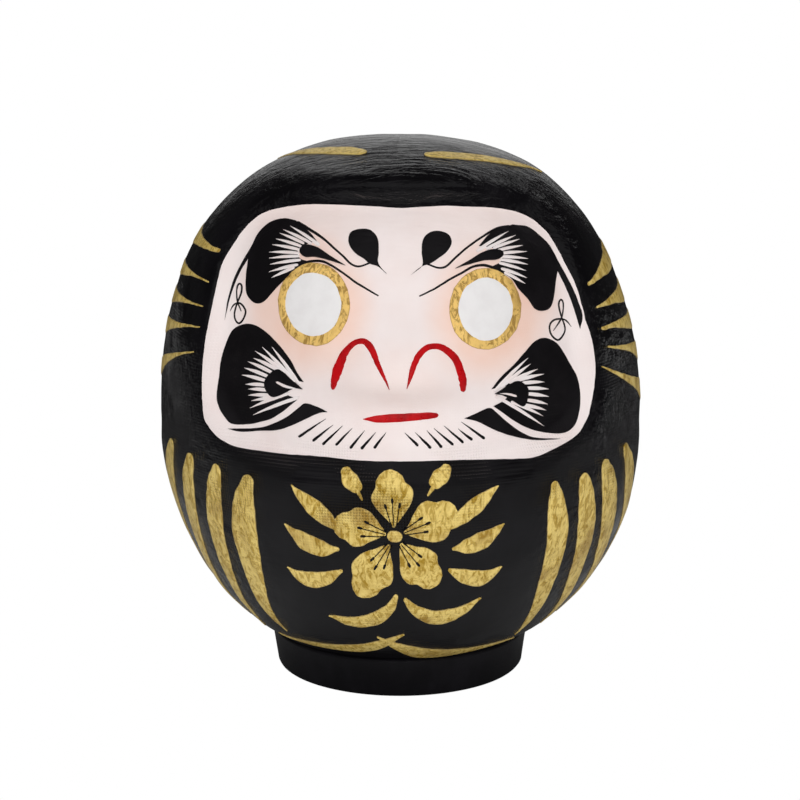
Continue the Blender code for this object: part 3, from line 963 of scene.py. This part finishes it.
beard_curls = paint_film(
    "beard_curls",
    [
        shape([(-22.0, 2.5), (-24.3, 4.5), (-26.4, 6.4), (-27.7, 7.0), (-29.3, 6.1), (-30.5, 4.5),
               (-30.5, 2.7), (-29.1, 0.8), (-27.0, 1.1), (-24.1, 2.6), (-22.0, 2.5)]),
        shape([(21.4, 1.4), (24.5, 3.4), (26.1, 4.3), (27.5, 4.1), (28.9, 2.7), (28.9, 0.8), (28.4, -0.9),
               (27.5, -1.4), (25.5, -0.2), (23.2, 1.1), (21.4, 1.4)]),
    ],
    LIFT["top_black"], BRUSH_BLACK, "brush_black", shake=0.02,
)
beard_glints = paint_film(
    "beard_glints",
    [
        stroke([(-27.5, 3.9, 0.9), (-26.0, 3.2, 1.1), (-24.4, 2.8, 0.7), (-23.2, 2.6, 0.15)]),
        stroke([(25.9, 1.0, 0.9), (24.8, 1.3, 0.9), (23.6, 1.5, 0.55), (22.6, 1.5, 0.15)]),
    ],
    LIFT["glint"], HAIR_WHITE, "chalk_white", shake=0.02,
)

# %% [markdown]
# ## Nose, mouth and the knots beside the ears
#
# Two red arches stand for the nostrils and a red bar for the mouth. A thin looped line by each
# brow's tip stands for the ear.

# %% Nose and mouth
nose_and_mouth = paint_film(
    "nose_and_mouth",
    [
        stroke([(-15.1, 3.0, 1.2), (-14.7, 5.0, 2.0), (-14.1, 6.8, 2.5), (-13.4, 8.7, 2.3),
                (-12.6, 10.5, 1.9), (-11.2, 12.2, 1.6), (-9.6, 13.2, 1.5), (-8.0, 13.2, 1.6),
                (-6.9, 12.2, 1.8), (-5.9, 10.5, 1.6), (-5.2, 8.6, 1.3), (-4.4, 6.8, 1.05),
                (-3.2, 4.2, 0.6), (-2.4, 2.5, 0.15)]),
        stroke([(1.6, 2.7, 0.2), (2.3, 5.0, 1.0), (2.8, 6.8, 1.4), (3.5, 8.7, 1.5), (4.5, 10.4, 1.6),
                (6.1, 11.8, 1.6), (7.9, 12.2, 1.55), (9.8, 11.7, 1.7), (11.7, 10.3, 1.9),
                (12.9, 8.7, 1.9), (13.6, 6.8, 2.0), (14.2, 4.6, 1.9), (14.3, 2.6, 1.4)]),
        stroke([(-8.2, -4.4, 0.3), (-5.8, -4.3, 1.8), (-2.0, -4.1, 2.3), (2.0, -3.9, 2.2),
                (6.0, -3.6, 1.9), (8.0, -3.45, 1.5)]),
    ],
    LIFT["red"], RED, "red_paint", shake=0.08,
)

ear_knots = paint_film(
    "ear_knots",
    [
        stroke([
            (-38.5, 20.2, 0.2), (-37.8, 21.5, 0.48), (-36.8, 22.0, 0.50), (-35.9, 21.7, 0.50),
            (-35.0, 20.2, 0.50), (-35.5, 18.4, 0.50), (-36.5, 17.4, 0.54), (-37.3, 18.2, 0.50),
            (-37.5, 19.8, 0.50), (-36.9, 22.0, 0.50), (-36.0, 24.3, 0.50), (-35.9, 25.9, 0.50),
            (-36.4, 26.4, 0.54), (-36.9, 25.7, 0.50), (-37.0, 23.9, 0.50), (-36.8, 22.2, 0.48),
            (-36.0, 20.2, 0.2),
        ], 4),
        stroke([
            (38.8, 16.7, 0.2), (37.7, 18.0, 0.48), (36.4, 18.4, 0.50), (34.8, 18.1, 0.50),
            (33.9, 16.8, 0.50), (34.3, 14.8, 0.50), (35.8, 13.6, 0.54), (37.0, 14.8, 0.50),
            (37.4, 16.4, 0.50), (36.7, 18.6, 0.50), (36.1, 20.7, 0.50), (36.0, 22.0, 0.50),
            (36.5, 22.8, 0.54), (37.0, 22.0, 0.50), (36.9, 20.0, 0.50), (36.4, 18.2, 0.48),
            (34.8, 15.8, 0.2),
        ], 4),
    ],
    LIFT["black"], BRUSH_BLACK, "brush_black", shake=0.0,
)

# %% [markdown]
# ## Gold strokes
#
# Four folds of the robe run down each side of the belly, five spikes of the hood come round
# each side of the head, and two strokes lie on the crown. They are brushed round the body, so
# they are drawn unrolled: the distance round from the front, and the height.

# %% Folds, spikes and crown strokes
ROUND = math.radians(1.0) * RADIUS / MM


def fold(points):
    """A stroke drawn by (angle from the front, height, width) points."""
    return stroke([(angle * ROUND, height, width) for angle, height, width in points])


folds = [fold(points) for points in (
    [(-36.3, 53.4, 3.2), (-37.4, 50.6, 4.8), (-38.5, 46.5, 6.6), (-39.5, 42.0, 7.4),
     (-40.2, 36.5, 7.2), (-41.2, 30.0, 6.2), (-42.5, 24.0, 5.0), (-43.2, 19.0, 3.2),
     (-42.5, 15.4, 0.5)],
    [(-46.4, 54.0, 3.2), (-47.6, 50.6, 4.6), (-49.0, 45.5, 5.6), (-50.5, 39.0, 5.7),
     (-52.0, 32.0, 5.2), (-54.0, 25.0, 4.4), (-57.5, 18.0, 3.0), (-60.0, 13.5, 0.5)],
    [(-57.0, 54.2, 3.4), (-59.0, 49.8, 5.0), (-60.5, 45.0, 6.0), (-62.5, 39.0, 6.0),
     (-64.5, 32.0, 5.4), (-67.0, 25.0, 4.2), (-70.0, 18.5, 2.8), (-72.0, 14.0, 0.5)],
    [(-67.5, 55.2, 3.6), (-70.6, 51.0, 5.8), (-73.5, 46.0, 7.0), (-75.5, 39.0, 6.8),
     (-77.5, 32.0, 5.8), (-80.0, 25.0, 4.4), (-83.0, 18.0, 2.6), (-85.0, 13.0, 0.5)],
    [(37.2, 52.4, 2.2), (37.8, 49.4, 4.2), (38.8, 45.0, 5.7), (40.0, 40.0, 6.2), (41.0, 33.0, 5.9),
     (42.0, 27.0, 5.6), (43.5, 21.5, 4.4), (45.0, 17.0, 2.6), (46.0, 13.6, 0.5)],
    [(46.6, 51.9, 3.4), (47.8, 48.4, 5.1), (49.2, 43.5, 6.0), (50.8, 38.0, 6.1), (52.2, 32.0, 5.6),
     (54.5, 26.0, 4.8), (57.5, 20.0, 3.6), (61.0, 14.0, 0.5)],
    [(55.0, 53.2, 3.8), (56.8, 49.6, 5.8), (58.5, 45.3, 6.8), (60.5, 40.5, 7.0), (63.0, 34.0, 6.2),
     (66.0, 28.0, 5.0), (69.0, 21.0, 3.4), (71.0, 15.0, 0.5)],
    [(66.0, 54.6, 3.4), (69.2, 50.6, 6.0), (72.5, 45.6, 7.6), (75.5, 40.0, 7.4), (78.0, 33.0, 6.0),
     (80.5, 26.0, 4.4), (83.0, 19.0, 2.8), (85.0, 14.0, 0.5)],
)]

spikes = [fold(points) for points in (
    [(-61.0, 98.6, 0.8), (-70.0, 98.7, 1.4), (-80.0, 98.7, 2.4), (-91.0, 98.4, 3.8),
     (-101.0, 98.0, 4.6), (-106.0, 97.8, 3.8)],
    [(-59.0, 92.4, 0.3), (-68.0, 92.6, 0.7), (-78.0, 92.2, 2.1), (-89.0, 91.5, 3.6),
     (-99.0, 90.8, 4.6), (-104.0, 90.5, 3.8)],
    [(-58.0, 87.5, 0.3), (-67.0, 87.1, 0.7), (-77.0, 86.5, 2.1), (-87.0, 85.4, 3.7),
     (-98.0, 84.2, 4.7), (-103.0, 83.7, 3.8)],
    [(-57.0, 83.3, 0.3), (-65.0, 82.3, 0.7), (-75.0, 80.8, 2.0), (-85.0, 79.0, 3.6),
     (-97.0, 77.0, 4.8), (-102.0, 76.2, 3.8)],
    [(-57.5, 77.9, 0.3), (-66.0, 75.9, 0.8), (-75.0, 73.2, 2.2), (-85.0, 69.8, 4.0),
     (-97.0, 66.5, 5.0), (-102.0, 65.2, 4.0)],
    [(59.0, 91.8, 0.7), (62.5, 92.2, 1.1), (68.0, 92.9, 1.9), (75.5, 93.6, 3.4), (86.0, 94.4, 4.8),
     (97.0, 94.8, 5.0), (102.0, 94.9, 4.0)],
    [(59.0, 87.0, 0.4), (64.0, 87.0, 0.9), (71.0, 87.0, 1.9), (79.0, 86.6, 3.4), (90.0, 86.2, 4.6),
     (99.0, 86.0, 4.2)],
    [(58.6, 82.6, 0.7), (64.0, 82.4, 1.1), (71.0, 81.7, 2.0), (80.0, 80.6, 3.4), (91.0, 79.6, 4.4),
     (99.0, 79.0, 4.0)],
    [(59.6, 78.6, 0.4), (66.0, 77.4, 0.9), (75.0, 75.6, 2.1), (84.0, 73.4, 4.0), (94.0, 71.4, 5.0),
     (101.0, 70.2, 4.2)],
    [(55.5, 75.0, 0.3), (61.0, 72.8, 0.8), (68.0, 70.2, 1.6), (77.0, 67.2, 3.0), (87.0, 63.8, 5.0),
     (97.0, 60.6, 5.0), (102.0, 59.4, 4.0)],
)]
unrolled = {"grid": 1.6, "place": round_the_body}
robe_folds = paint_film("robe_folds", folds, LIFT["folds"], GOLD, "gold_paint", **unrolled, shake=0.22)
hood_spikes = paint_film("hood_spikes", spikes, LIFT["spikes"], GOLD, "gold_paint", **unrolled, shake=0.14)
crown_strokes = paint_film(
    "crown_strokes",
    [
        stroke([(-8.6, 13.6, 3.0), (-11.0, 11.5, 4.2), (-14.5, 8.6, 4.4), (-18.5, 5.0, 3.8),
                (-22.5, 0.4, 2.8), (-27.0, -6.5, 0.6)]),
        stroke([(6.6, 16.0, 3.0), (9.5, 15.2, 4.2), (14.0, 13.6, 4.4), (19.5, 10.6, 3.8),
                (25.0, 6.2, 2.6), (31.0, -0.5, 0.5)]),
    ],
    LIFT["folds"], GOLD, "gold_paint", place=over_the_crown, shake=0.15,
)

# %% [markdown]
# ## The ornament on the belly
#
# A large gold device fills the belly. This one is a plum blossom with leaves and buds, over long
# sweeping strokes that run round the foot of the robe. Every part is a brush stroke like the
# others, and the stamens are drawn over the gold in black with the finest brush.

# %% Blossom, leaves and sweeps
BLOSSOM = (-1.2, -31.0)


def about_blossom(points, turn, steps):
    """A stroke through (side, out, width) points, turned in degrees about the blossom's middle."""
    angle = math.radians(turn)
    turned = []
    for side, reach, width in points:
        u = BLOSSOM[0] + side * math.cos(angle) - reach * math.sin(angle)
        v = BLOSSOM[1] + side * math.sin(angle) + reach * math.cos(angle)
        turned.append((u, v, width))
    return stroke(turned, steps)


ornament = []
stamens = []
for i, swell in enumerate((1.0, 0.94, 1.04, 0.97, 1.02)):
    turn = 4 + 72 * i
    petal = [(0.0, 2.6, 1.0), (0.1, 4.4, 4.0), (0.1, 7.2, 8.4), (0.0, 9.8, 9.6), (-0.2, 11.8, 6.8)]
    ornament.append(about_blossom([(s, r * swell, w * swell) for s, r, w in petal], turn, 4))
    for side in (-1, 0, 1):
        lean_to = turn + 13 * side
        tip = 7.6 if side == 0 else 6.6
        stamens.append(about_blossom([(0.0, 2.4, 0.3), (0.0, 4.6, 0.34), (0.0, tip, 0.3)], lean_to, 3))
        stamens.append(about_blossom([(0.0, tip + 0.3, 0.8), (0.0, tip + 0.8, 0.8)], lean_to, 3))
ornament.append(stroke([(BLOSSOM[0] - 0.4, BLOSSOM[1], 2.6), (BLOSSOM[0] + 0.4, BLOSSOM[1], 2.6)], 3))
ornament += [stroke(points) for points in (
    [(-13.6, -29.5, 0.9), (-16.6, -27.0, 3.2), (-19.8, -24.2, 3.6), (-22.6, -21.6, 2.0),
     (-24.6, -19.4, 0.3)],
    [(-14.2, -34.0, 0.9), (-17.6, -33.8, 3.4), (-21.0, -32.4, 3.8), (-24.0, -30.2, 2.0),
     (-26.0, -28.2, 0.3)],
    [(-13.4, -38.8, 0.9), (-16.6, -40.4, 3.2), (-20.0, -40.8, 3.6), (-23.2, -39.6, 2.0),
     (-25.4, -38.0, 0.3)],
    [(11.6, -29.0, 0.9), (14.4, -26.4, 3.2), (17.4, -23.8, 3.6), (20.2, -21.4, 2.0),
     (22.2, -19.4, 0.3)],
    [(12.2, -33.8, 0.9), (15.4, -33.2, 3.4), (18.8, -31.8, 3.8), (21.6, -29.8, 2.0),
     (23.6, -28.0, 0.3)],
    [(11.4, -38.6, 0.9), (14.4, -40.0, 3.2), (17.8, -40.4, 3.6), (20.8, -39.4, 2.0),
     (23.0, -37.8, 0.3)],
    [(-10.2, -19.6, 3.2), (-11.4, -18.0, 3.8), (-12.2, -16.4, 2.4)],
    [(-8.6, -22.6, 0.5), (-9.6, -20.8, 0.9)],
    [(8.2, -18.6, 3.2), (9.4, -17.2, 3.8), (10.4, -15.8, 2.4)],
    [(6.4, -21.6, 0.5), (7.6, -19.8, 0.9)],
    [(-1.0, -44.6, 1.0), (-2.4, -47.4, 2.4), (-5.6, -49.6, 3.0), (-10.5, -50.4, 2.2),
     (-16.0, -49.0, 0.4)],
    [(1.2, -45.4, 1.0), (4.2, -48.2, 2.6), (8.6, -49.4, 3.2), (13.6, -48.0, 2.2), (18.2, -45.0, 0.4)],
)]
gold_ornament = paint_film(
    "gold_ornament", ornament, LIFT["ornament"], GOLD, "gold_paint", grid=1.3, shake=0.2
)
blossom_stamens = paint_film(
    "blossom_stamens", stamens, LIFT["stamens"], BRUSH_BLACK, "brush_black", shake=0.05
)
sweeps = [fold(points) for points in (
    [(-52.0, 12.6, 0.3), (-46.0, 12.2, 0.9), (-37.0, 12.2, 1.5), (-25.0, 12.6, 2.0),
     (-14.0, 13.4, 2.8), (-6.0, 15.4, 2.6), (1.0, 18.6, 0.6)],
    [(-7.0, 17.6, 0.6), (-1.0, 14.6, 2.6), (6.0, 12.2, 4.0), (15.0, 11.2, 3.4), (26.0, 11.0, 2.2),
     (38.0, 11.2, 1.4), (50.0, 11.6, 0.3)],
)]
hem_strokes = paint_film("hem_strokes", sweeps, LIFT["hem"], GOLD, "gold_paint", **unrolled, shake=0.1)

# %% [markdown]
# ## Foot, base paper and collar
#
# The clay foot is turned with softened edges and lacquered with the body. It is spun finer than
# the solid it stands for, because its rim is seen against the light. The paper disc under it
# dips a little over the hole where the doll was held on a stick. The collar inside keeps the
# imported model's shape and only gets the bare pulp.

# %% Foot
foot_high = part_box("clay_foot")[1]
FOOT_TOP = SHELL_BOTTOM - 0.3 * MM
FOOT_TAPER = 1.1 * MM
FOOT_CORNER = 1.0 * MM
STICK_HOLE = 4.0 * MM
FLOOR_GAP = 0.8 * MM


def spin_outline(outline, steps):
    """Turns a closed outline of (radius, height) points round the axis."""
    bm = bmesh.new()
    verts = [bm.verts.new((radius, 0.0, height)) for radius, height in outline]
    edges = [bm.edges.new(pair) for pair in zip(verts, verts[1:] + verts[:1])]
    bmesh.ops.spin(bm, geom=verts + edges, **FULL_TURN, steps=steps)
    bmesh.ops.remove_doubles(bm, verts=bm.verts, dist=1e-7)
    bmesh.ops.recalc_face_normals(bm, faces=bm.faces)
    return bm


def corner(radius, height, first, last):
    """A rounded corner as (radius, height) points, between two angles in degrees."""
    angles = [math.radians(degrees) for degrees in range(first, last + 1, 15)]
    return [(radius + FOOT_CORNER * math.cos(a), height + FOOT_CORNER * math.sin(a)) for a in angles]


def make_foot():
    top_radius = foot_high.x
    low_radius = top_radius - FOOT_TAPER
    rim = low_radius - 2.2 * MM
    outline = [(STICK_HOLE, FLOOR_GAP), (rim, FLOOR_GAP), (rim, 0.0)]
    outline += corner(low_radius - FOOT_CORNER, FOOT_CORNER, -90, 0)
    for share in (0.3, 0.6):
        height = FOOT_CORNER + share * (FOOT_TOP - 2 * FOOT_CORNER)
        outline.append((low_radius + share * FOOT_TAPER, height))
    outline += corner(top_radius - FOOT_CORNER, FOOT_TOP - FOOT_CORNER, 0, 90)
    plug = top_radius - 2.4 * MM
    outline += [(plug, FOOT_TOP), (plug, foot_high.z - 1 * MM), (plug - 1 * MM, foot_high.z)]
    outline.append((STICK_HOLE, foot_high.z))
    bm = spin_outline(outline, 160)
    for vertex in bm.verts:
        if vertex.co.xy.length > low_radius - 1.5 * MM and 0.5 * MM < vertex.co.z < FOOT_TOP:
            vertex.co += vertex.normal * 0.12 * MM * noise.noise(vertex.co * 130.0)
    return finish_piece("lacquered_foot", bm, FOOT_LACQUER)


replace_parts(make_foot(), "clay_foot")


# %% Papers
def make_fibre_paper(name, first, second, roughness):
    material, tree, shader = new_material(name, roughness, 0.2)
    place, _ = position(tree)
    fibre = noise_node(tree, stretched(tree, place, (1.0, 0.35, 1.0)), 1500.0, 5.0, 0.7, 2.0)
    cloud = noise_node(tree, place, 120.0, 3.0, 0.6)
    share = smooth_range(tree, times(tree, fibre, plus(tree, cloud, 0.5)), 0.3, 0.7)
    tree.links.new(mix_colour(tree, share, first, second), shader.inputs["Base Color"])
    relief(tree, shader, fibre, 0.08 * MM)
    return material


RAGGED = 0.012
HOLE_DIP = 0.22 * MM


def make_base_paper():
    low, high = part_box("base_paper")
    bm = bmesh.new()
    bmesh.ops.create_circle(bm, cap_ends=True, segments=96, radius=high.x)
    for share in (0.985, 0.9, 0.5, 0.25, 0.17, 0.12):
        face = max(bm.faces, key=lambda f: len(f.verts))
        reach = max(v.co.length for v in face.verts)
        bmesh.ops.inset_region(bm, faces=[face], thickness=reach - share * high.x, use_even_offset=True)
    bmesh.ops.solidify(bm, geom=bm.faces[:], thickness=high.z - low.z)
    lowest = min(v.co.z for v in bm.verts)
    for vertex in bm.verts:
        vertex.co.z -= lowest
        distance = vertex.co.xy.length / MM
        torn = abs(noise.noise(vertex.co.xy.to_3d() * 300.0)) * smooth_step((distance - 20.0) / 5.0)
        vertex.co.x *= 1.0 - RAGGED * torn
        vertex.co.y *= 1.0 - RAGGED * torn
        vertex.co.z += HOLE_DIP * smooth_step((5.0 - distance) / 3.0)
    return finish_piece("pasted_base_paper", bm, BASE_PAPER)


BASE_PAPER = make_fibre_paper("pasted_paper", (0.72, 0.66, 0.54), (0.56, 0.49, 0.37), 0.85)
PULP = make_fibre_paper("moulded_pulp", (0.50, 0.46, 0.39), (0.36, 0.32, 0.26), 0.92)
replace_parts(make_base_paper(), "base_paper")
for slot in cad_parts["lap_collar"].material_slots:
    slot.material = PULP
print("papers:", BASE_PAPER.name, PULP.name)

# %% [markdown]
# ## Studio
#
# The doll stands on a plain pale floor. Black lacquer shows whatever is round it, so what it
# mirrors is set apart from what lights it: a dim room with a few bright cards and patches of
# floor draws the highlights, and two soft boxes light the paints. The floor and the sky are white
# to the eye only, which gives the clean ground of a product picture.


# %% Floor and sky
def by_ray(tree, shader_kind, seen, mirrored, scattered):
    """Mixes what lights the doll, what a glossy surface mirrors and what the eye sees."""
    rays = add_node(tree, "ShaderNodeLightPath").outputs
    result = None
    for strength, ray in ((scattered, None), (mirrored, "Is Glossy Ray"), (seen, "Is Camera Ray")):
        node = add_node(tree, shader_kind)
        feed(tree, node, Color=(1.0, 1.0, 1.0, 1.0), Strength=strength)
        if result is None:
            result = node.outputs[0]
            continue
        mix = add_node(tree, "ShaderNodeMixShader")
        for socket, value in zip(mix.inputs, (rays[ray], result, node.outputs[0])):
            tree.links.new(value, socket)
        result = mix.outputs[0]
    return result


def make_floor():
    bm = bmesh.new()
    bmesh.ops.create_grid(bm, x_segments=2, y_segments=2, size=3.0)
    mesh = bpy.data.meshes.new("floor")
    bm.to_mesh(mesh)
    bm.free()
    floor = bpy.data.objects.new("floor", mesh)
    floor.location.z = -0.05 * MM
    scene.collection.objects.link(floor)
    material = bpy.data.materials.new("pale_floor")
    material.use_nodes = True
    tree = material.node_tree
    tree.nodes.clear()
    out = add_node(tree, "ShaderNodeOutputMaterial")
    place, axes = position(tree)
    length = add_node(tree, "ShaderNodeVectorMath", operation="LENGTH")
    tree.links.new(place, length.inputs[0])
    distance = length.outputs["Value"]
    # A painted shadow darkens the floor under the doll, both in the light it gives and in what the lacquer
    # mirrors of it, and what the lacquer mirrors of it fades with distance.
    painted_shadow = smooth_range(tree, distance, 0.026, 0.060, 0.25, 1.0)
    ahead = smooth_range(tree, axes["Y"], -0.05, 0.03, 1.0, 0.0)
    front = times(tree, smooth_range(tree, distance, 0.34, 0.41, FLOOR_FRONT, FLOOR_FAR), ahead)
    near = smooth_range(tree, distance, 0.09, 0.24, FLOOR_NEAR, FLOOR_FAR)
    rest = times(tree, near, minus(tree, 1.0, ahead))
    mirrored = times(tree, plus(tree, front, rest), painted_shadow)
    behind = smooth_range(tree, axes["Y"], 0.06, 0.12)
    for side, start, strength, far in FLOOR_PATCHES:
        outwards = times(tree, axes["X"], side)
        patch = smooth_range(tree, outwards, start, start + 0.04)
        patch = times(tree, patch, smooth_range(tree, distance, far, far + 0.2, strength, 0.0))
        mirrored = plus(tree, mirrored, times(tree, patch, behind))
    scattered = times(tree, painted_shadow, FLOOR_LIGHT)
    tree.links.new(by_ray(tree, "ShaderNodeEmission", 1.0, mirrored, scattered), out.inputs[0])
    mesh.materials.append(material)


def card(tree, axes, middle, reach, soft, strength):
    """One bright card in the room, by azimuth from the back and elevation, in degrees. The cosine
    and back give the shorter way round, so that a card may stand across the front."""
    turn = math_node(tree, "ARCTAN2", axes["X"], axes["Y"])
    rise = math_node(tree, "ARCSINE", axes["Z"])
    level = strength
    for value, centre, half in ((turn, middle[0], reach[0]), (rise, middle[1], reach[1])):
        turned = math_node(tree, "COSINE", minus(tree, value, math.radians(centre)))
        away = math_node(tree, "ARCCOSINE", turned)
        fade = smooth_range(tree, away, math.radians(half - soft), math.radians(half), 1.0, 0.0)
        level = times(tree, fade, level)
    return level


def make_sky():
    world = bpy.data.worlds.new("studio")
    scene.world = world
    world.use_nodes = True
    tree = world.node_tree
    tree.nodes.clear()
    out = add_node(tree, "ShaderNodeOutputWorld")
    way = add_node(tree, "ShaderNodeSeparateXYZ")
    tree.links.new(add_node(tree, "ShaderNodeTexCoord").outputs["Generated"], way.inputs[0])
    mirrored = ROOM_LEVEL
    for middle, reach, soft, strength in CARDS:
        mirrored = plus(tree, mirrored, card(tree, way.outputs, middle, reach, soft, strength))
    tree.links.new(by_ray(tree, "ShaderNodeBackground", 1.0, mirrored, SKY_LIGHT), out.inputs[0])


def soft_box(name, place, size, power):
    """A rectangular soft light that looks at the doll. It is kept out of the mirror images, which
    the cards in the sky make instead, so that the gloss and the lighting can be set apart."""
    light = bpy.data.lights.new(name, "AREA")
    light.shape = "RECTANGLE"
    light.size, light.size_y = size
    light.energy = power
    box = bpy.data.objects.new(name, light)
    box.location = Vector(place)
    box.rotation_euler = (AIM - box.location).to_track_quat("-Z", "Y").to_euler()
    box.visible_glossy = False
    scene.collection.objects.link(box)


# %% Light levels
FLOOR_NEAR = 0.28
FLOOR_FAR = 0.02
FLOOR_FRONT = 0.26
FLOOR_LIGHT = 0.54
SKY_LIGHT = 0.28
ROOM_LEVEL = 0.02
# Each patch of floor behind the doll: its side, how far out it starts, how bright, how far it reaches.
FLOOR_PATCHES = ((-1.0, 0.20, 0.20, 0.55), (1.0, 0.24, 0.90, 0.42))
# Each card: (azimuth, elevation) of its middle, half its width and height, its soft edge, how bright.
CARDS = (
    ((0.0, 8.0), (19.0, 26.0), 12.0, 0.62),
    ((-17.0, 36.5), (13.0, 6.0), 3.0, 0.50),
    ((40.0, 40.0), (24.0, 7.0), 4.0, 0.85),
    ((180.0, 45.0), (75.0, 32.0), 10.0, 0.22),
    ((180.0, 0.0), (30.0, 16.0), 8.0, 0.18),
)
make_floor()
make_sky()
soft_box("key_box", (0.05, -1.05, 0.44), (0.7, 0.6), 7.5)
soft_box("overhead_box", (0.0, -0.10, 0.85), (0.5, 0.4), 0.6)
print("studio set")

# %% [markdown]
# ## Finish
#
# The body's surface, which the paint was thrown onto, is freed. The painted doll must stay
# inside the imported model's box.

# %% Finish
surface_mesh.free()
